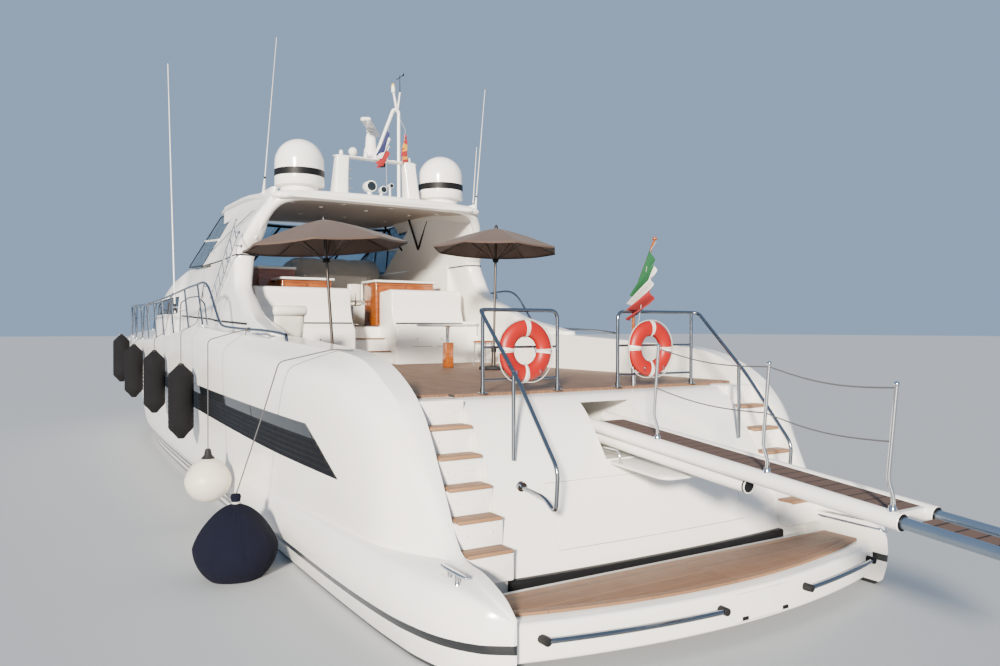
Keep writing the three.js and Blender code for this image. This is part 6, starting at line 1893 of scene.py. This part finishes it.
def make_fenders():
    for name, x, z in FENDERS:
        y, r, half, cone = 3.15, 0.185, 0.45, 0.13
        low, high = z - half, z + half
        foot, head = low - cone, high + cone
        body = Piece(f"fender_sock_{name}", "fender_black", replaces=(f"fender_{name}",)).use("sock_black")
        profile = [(0, foot + 0.02), (0.045, foot + 0.012), (r * 0.6, low - 0.035), (r * 0.88, low + 0.015)]
        for k in range(21):
            t = k / 20
            profile.append((r - 0.004 * (k % 2), low + 0.06 + (2 * half - 0.12) * t))
        profile += [(r * 0.88, high - 0.015), (r * 0.6, high + 0.035), (0.05, head - 0.03)]
        body.turned((x, y, 0), profile + [(0, head - 0.028)], 36)
        body.use("rubber_and_painted_shade").turned((x, y, 0), [(0, head - 0.04), (0.046, head - 0.04), (0.042, head - 0.01),
                (0.02, head), (0, head)], 20)
        body.use("rope_white").tube([(x, y + 0.055 * c, head - 0.028 + 0.02 * s) for c, s in circle(16)],
                                    0.007, 6, loop=True)
        body.done(angle=50)
        cord_to_rail(x, y, head, f"fender_{name}")


def make_white_ball():
    ball = Piece("ball_white", "fender_white", replaces=("ball_fender_white",)).use("ball_white")
    x, y, z, r = -5.97, 3.17, 0.65, 0.29
    top = z + r
    profile = []
    for k in range(33):
        a = -pi / 2 + pi * k / 32
        up = sin(a)
        profile.append((r * cos(a) * (1 - 0.15 * up if up > 0 else 1), z + r * up))
    ball.turned((x, y, 0), profile, 48)
    ball.use("rubber_and_painted_shade").turned((x, y, 0), [(0.085, z + r * 0.955), (0.08, z + r * 0.99), (0.05, top + 0.03),
                                          (0.038, top + 0.09), (0.03, top + 0.11), (0, top + 0.11)], 28)
    ball.turned((x, y, 0), [(0, z - r), (0.03, z - r + 0.003), (0.04, z - r + 0.02), (0, z - r + 0.02)], 20)
    ball.done(angle=50)
    cord_to_rail(x, y, top + 0.13, "ball_white")


def make_navy_ball():
    x, y, z, r, taper = -8.13, 3.31, 0.33, 0.43, 0.3
    ball = Piece("ball_navy", "fender_navy", replaces=("ball_fender_navy",)).use("sock_navy")
    sides, layers = 128, 56
    rings = []
    for j in range(layers + 1):
        a = -pi / 2 + pi * j / layers
        up = sin(a)
        base = r * cos(a) * (1 - taper * up if up > 0 else 1)
        ring = []
        for k in range(sides):
            turn = tau * k / sides
            part = (turn / tau * 8) % 1
            seam = -0.006 * exp(-((min(part, 1 - part)) / 0.035) ** 2)
            gather = 0.011 * max(0, up - 0.45) * sin(turn * 24 + 3 * up) + 0.004 * sin(turn * 5 + up * 4)
            here = max(base + (seam + gather if base > 0.05 else 0), 1e-3)
            ring.append((x + here * cos(turn), y + here * sin(turn), z + r * up))
        rings.append(ring)
    ball.loft(rings)
    neck = ((0.075, 0.93), (0.05, 0.985), (0.034, 1.03), (0.044, 1.1), (0.05, 1.18), (0.042, 1.24),
            (0.02, 1.255))
    ball.loft([[(x + around * c, y + (around + 0.005 * (n % 2)) * s, z + r * high)
                for n, (c, s) in enumerate(circle(32))]
               for around, high in neck])
    ball.use("rope_white")
    for high in (1.022, 1.045):
        ball.tube([(x + 0.04 * c, y + 0.04 * s, z + r * high) for c, s in circle(20)], 0.006, 6, loop=True)
    ball.done(angle=60)
    rope = Piece("lanyard_ball_navy", "fender_white").use("rope_dark")
    end = -9.05
    ridge_y, ridge_z = ridge_at(end)
    rope.tube([(x, y, z + r + 0.09), (x - 0.12, 3.06, 1.7), (x - 0.38, 2.96, 2.26),
               (end + 0.15, ridge_y + 0.06, ridge_z + 0.03), (end, ridge_y - 0.09, ridge_z + 0.02)], 0.0068,
               10, bend=0.06)
    rope.done()


def make_drive():
    for name, _ in SIDES:
        dress(f"propeller_{name}", "bronze", 35)
        dress(f"rudder_{name}", "bronze", 40)


def make_bow_gear():
    roller = Piece("anchor_roller", "stainless", replaces=("bow_anchor",)).use("stainless")
    roller.box((11.25, -0.08, 2.782), (11.69, 0.08, 2.8))
    for side in (-1, 1):
        roller.plate([(11.25, 2.785), (11.7, 2.785), (11.7, 2.95), (11.66, 2.975), (11.3, 2.975),
                      (11.25, 2.93)], side * 0.066, side * 0.08)
    roller.use("rubber_and_painted_shade").turned((11.66, 0, 2.845), [(0, -0.064), (0.05, -0.064), (0.03, 0), (0.05, 0.064),
            (0, 0.064)], 24, "Y")
    roller.use("stainless").plate([(11.28, 2.875), (11.73, 2.875), (11.955, 2.53), (12.0, 2.545),
                                   (11.76, 2.918), (11.28, 2.918)], -0.02, 0.02)
    fluke = [((11.99, 2.535), 0.025), ((11.94, 2.48), 0.12), ((11.85, 2.36), 0.195), ((11.75, 2.3), 0.14),
             ((11.665, 2.28), 0.06)]
    roller.loft([[(px, -half, pz - 0.013), (px, half, pz - 0.013), (px, half, pz + 0.013),
                  (px, 0, pz + 0.035), (px, -half, pz + 0.013)] for (px, pz), half in fluke])
    roller.done(bevel=0.004)
    gear = Piece("anchor_windlass", "stainless", replaces=("windlass",)).use("stainless")
    gear.turned((10.4, 0, 0), [(0, 2.64), (0.125, 2.64), (0.125, 2.7), (0.11, 2.72), (0.11, 2.8),
                               (0.075, 2.82), (0.06, 2.85), (0.07, 2.88), (0.085, 2.93), (0.085, 2.95),
                               (0.03, 2.965), (0, 2.965)], 36)
    gear.box((10.28, -0.13, 2.64), (10.64, 0.13, 2.75))
    gear.tube([(10.5, 0.05, 2.76), (10.8, 0.02, 2.8), (11.2, 0, 2.84), (11.35, 0, 2.89)], 0.014, 10)
    gear.done(bevel=0.008)


def make_stool():
    """Low stool with a wooden seat, by the steps on the aft deck."""
    stool = Piece("deck_stool", "varnished_wood")
    foot, wide = DECK_Z + FIT, 0.12
    x, y = -5.15, -1.42
    for dx in (-wide, wide):
        for dy in (-wide, wide):
            stool.use("stainless").rod((x + dx, y + dy, foot), (x + dx * 0.85, y + dy * 0.85, foot + 0.4),
                                       0.012)
    for z in (0.12, 0.38):
        ring = [(x + wide * 1.3433 * c, y + wide * 1.3433 * s, foot + z) for c, s in circle(4, pi / 4)]
        stool.tube(ring, 0.008, 8, loop=True)
    stool.use("varnish").turned((x, y, foot), [(0, 0.4), (0.165, 0.4), (0.175, 0.41), (0.17, 0.435),
            (0.1, 0.44), (0, 0.44)], 36)
    stool.done()


def make_fairlead():
    """Oval opening with a steel rim low on the starboard quarter's aft face; a flat black cap across it is
    painted shade for the hole's inside.
    """
    y, z, wide, high = -2.36, 0.6, 0.17, 0.075
    rim = Piece("quarter_fairlead", "stainless").use("stainless")
    rows = [(y + wide * c, z + high * s) for c, s in circle(40)]
    oval = [Vector((hull_aft_at(*row) - 0.004, *row)) for row in rows]
    rim.tube(oval, 0.014, 12, loop=True)
    # Painted shade: the hull is not cut here, and this flat black cap stands in for the dark inside of the
    # opening.
    rim.use("rubber_and_painted_shade").loft([[p + Vector((0.012, 0, 0)) for p in oval],
                            [p - Vector((0.004, 0, 0)) for p in oval]])
    rim.done(angle=60)


def hull_aft_at(y, z):
    """x of the hull's outer face, met from aft at (y, z)."""
    hull = bpy.data.objects["hull_moulding"]
    hit, at, _, _ = hull.ray_cast(Vector((-14, y, z)), Vector((1, 0, 0)))
    return at.x if hit else -11.6


def make_cleats():
    for name, side in SIDES:
        x, y, z = -11.4, side * 2.45, 0.69
        cleat = Piece(f"mooring_cleat_{name}", "stainless",
                      replaces=(f"quarter_cleat_{name}",)).use("stainless")
        for off in (-0.06, 0.06):
            cleat.turned((x + off, y, 0), [(0, z - 0.03), (0.034, z - 0.028), (0.022, z), (0.019, z + 0.03),
                                           (0.021, z + 0.07), (0, z + 0.075)], 20)
        cleat.tube([(x - 0.19, y, z + 0.078), (x - 0.12, y, z + 0.074), (x, y, z + 0.072),
                    (x + 0.12, y, z + 0.074), (x + 0.19, y, z + 0.078)],
                    [0.013, 0.019, 0.021, 0.019, 0.013], 16)
        cleat.ball((x - 0.19, y, z + 0.078), 0.014).ball((x + 0.19, y, z + 0.078), 0.014)
        cleat.done()


INTAKE = (
    # x at the top and at the bottom, z of the top and of the bottom
    (-8.85, -9.62, 1.65, 1.2), (-8.02, -8.02, 1.666, 1.228), (-3.5, -3.5, 1.753, 1.367),
    (1.9, 1.9, 1.87, 1.68),
)


def side_y(x, z):
    """Half breadth of the topside at a height."""
    for a, b in zip(HULL_ROWS, HULL_ROWS[1:]):
        if b[0] >= x:
            near, far = (along_curve(hull_half(row)[::-1], z) for row in (a, b))
            return near + (far - near) * (x - a[0]) / (b[0] - a[0])


def intake_at(s, share):
    """Point (x, z) at a fraction along the intake and a share of its height."""
    numbered = [(k, *row) for k, row in enumerate(INTAKE)]
    _, top_x, low_x, top_z, low_z = row_at(numbered, s * (len(INTAKE) - 1))
    return top_x + (low_x - top_x) * share, top_z + (low_z - top_z) * share


def make_intakes():
    for name, side in SIDES:
        piece = Piece(f"side_intake_{name}", "black_trim", replaces=(f"intake_{name}",))
        stops = [k / 60 for k in range(61)]

        def strip(share0, share1, off0, off1):
            rings = []
            for s in stops:
                (x0, z0), (x1, z1) = intake_at(s, share0), intake_at(s, share1)
                y0, y1 = side_y(x0, z0), side_y(x1, z1)
                rings.append([(x0, side * (y0 + 0.0005), z0), (x0, side * (y0 + off0), z0),
                              (x1, side * (y1 + off1), z1), (x1, side * (y1 + 0.0005), z1)])
            piece.loft(rings)

        piece.use("dark_glass")
        strip(0.0, 0.3, 0.01, 0.01)
        piece.use("black")
        strip(0.3, 1.0, 0.008, 0.008)
        for k in range(5):
            middle = 0.4 + 0.135 * k
            strip(middle - 0.036, middle + 0.03, 0.01, 0.024)
        piece.done(angle=30)


FLOOR_REACH = 300
FLOOR_GREY = (0.4, 0.42, 0.44)
SKY, SKY_STRENGTH = (0.5, 0.7, 1.0, 1), 0.62
SUN_ENERGY, SUN_WIDTH, SUN_COLOR = 12.5, radians(6), (1.0, 0.91, 0.78)
SUN_HEADING, SUN_CLIMB = radians(-40), radians(16)


def make_stage():
    """The plain floor at the waterline, the background and the low sun."""
    mesh = bpy.data.meshes.new("floor")
    corners = [(FLOOR_REACH * x, FLOOR_REACH * y, 0) for x, y in ((-1, -1), (1, -1), (1, 1), (-1, 1))]
    mesh.from_pydata(corners, [], [(0, 1, 2, 3)])
    mesh.materials.append(Shade("floor", FLOOR_GREY, 0.6).mat)
    plane = bpy.data.objects.new("floor", mesh)
    link(plane)
    world = bpy.data.worlds.new("studio")
    world.use_nodes = True
    back = world.node_tree.nodes["Background"]
    back.inputs["Color"].default_value = SKY
    back.inputs["Strength"].default_value = SKY_STRENGTH
    bpy.context.scene.world = world
    sun = bpy.data.lights.new("key", "SUN")
    sun.energy, sun.angle, sun.color = SUN_ENERGY, SUN_WIDTH, SUN_COLOR
    lamp = bpy.data.objects.new("key", sun)
    aim(lamp, SUN_HEADING, SUN_CLIMB)


for make in (make_camera, make_hull, make_brackets, make_stairs, make_platform, make_deck, make_deckhouse,
             make_arches, make_hoop, make_arch_rails, make_hardtop, make_lining, make_roof_gear, make_glazing,
             make_cockpit_units, make_bars, make_helm, make_bar_stool, make_table, make_parasols, make_domes,
             make_mast, make_radar, make_guard_rail, make_side_hoops, make_deck_chair, make_aft_rails,
             make_lifebuoys, make_ensign, make_guest_flags, make_gangway, make_gangway_slide,
             make_recess_flap, make_fenders, make_white_ball, make_navy_ball, make_drive, make_bow_gear,
             make_cleats, make_fairlead, make_stool, make_intakes, make_stage):
    make()
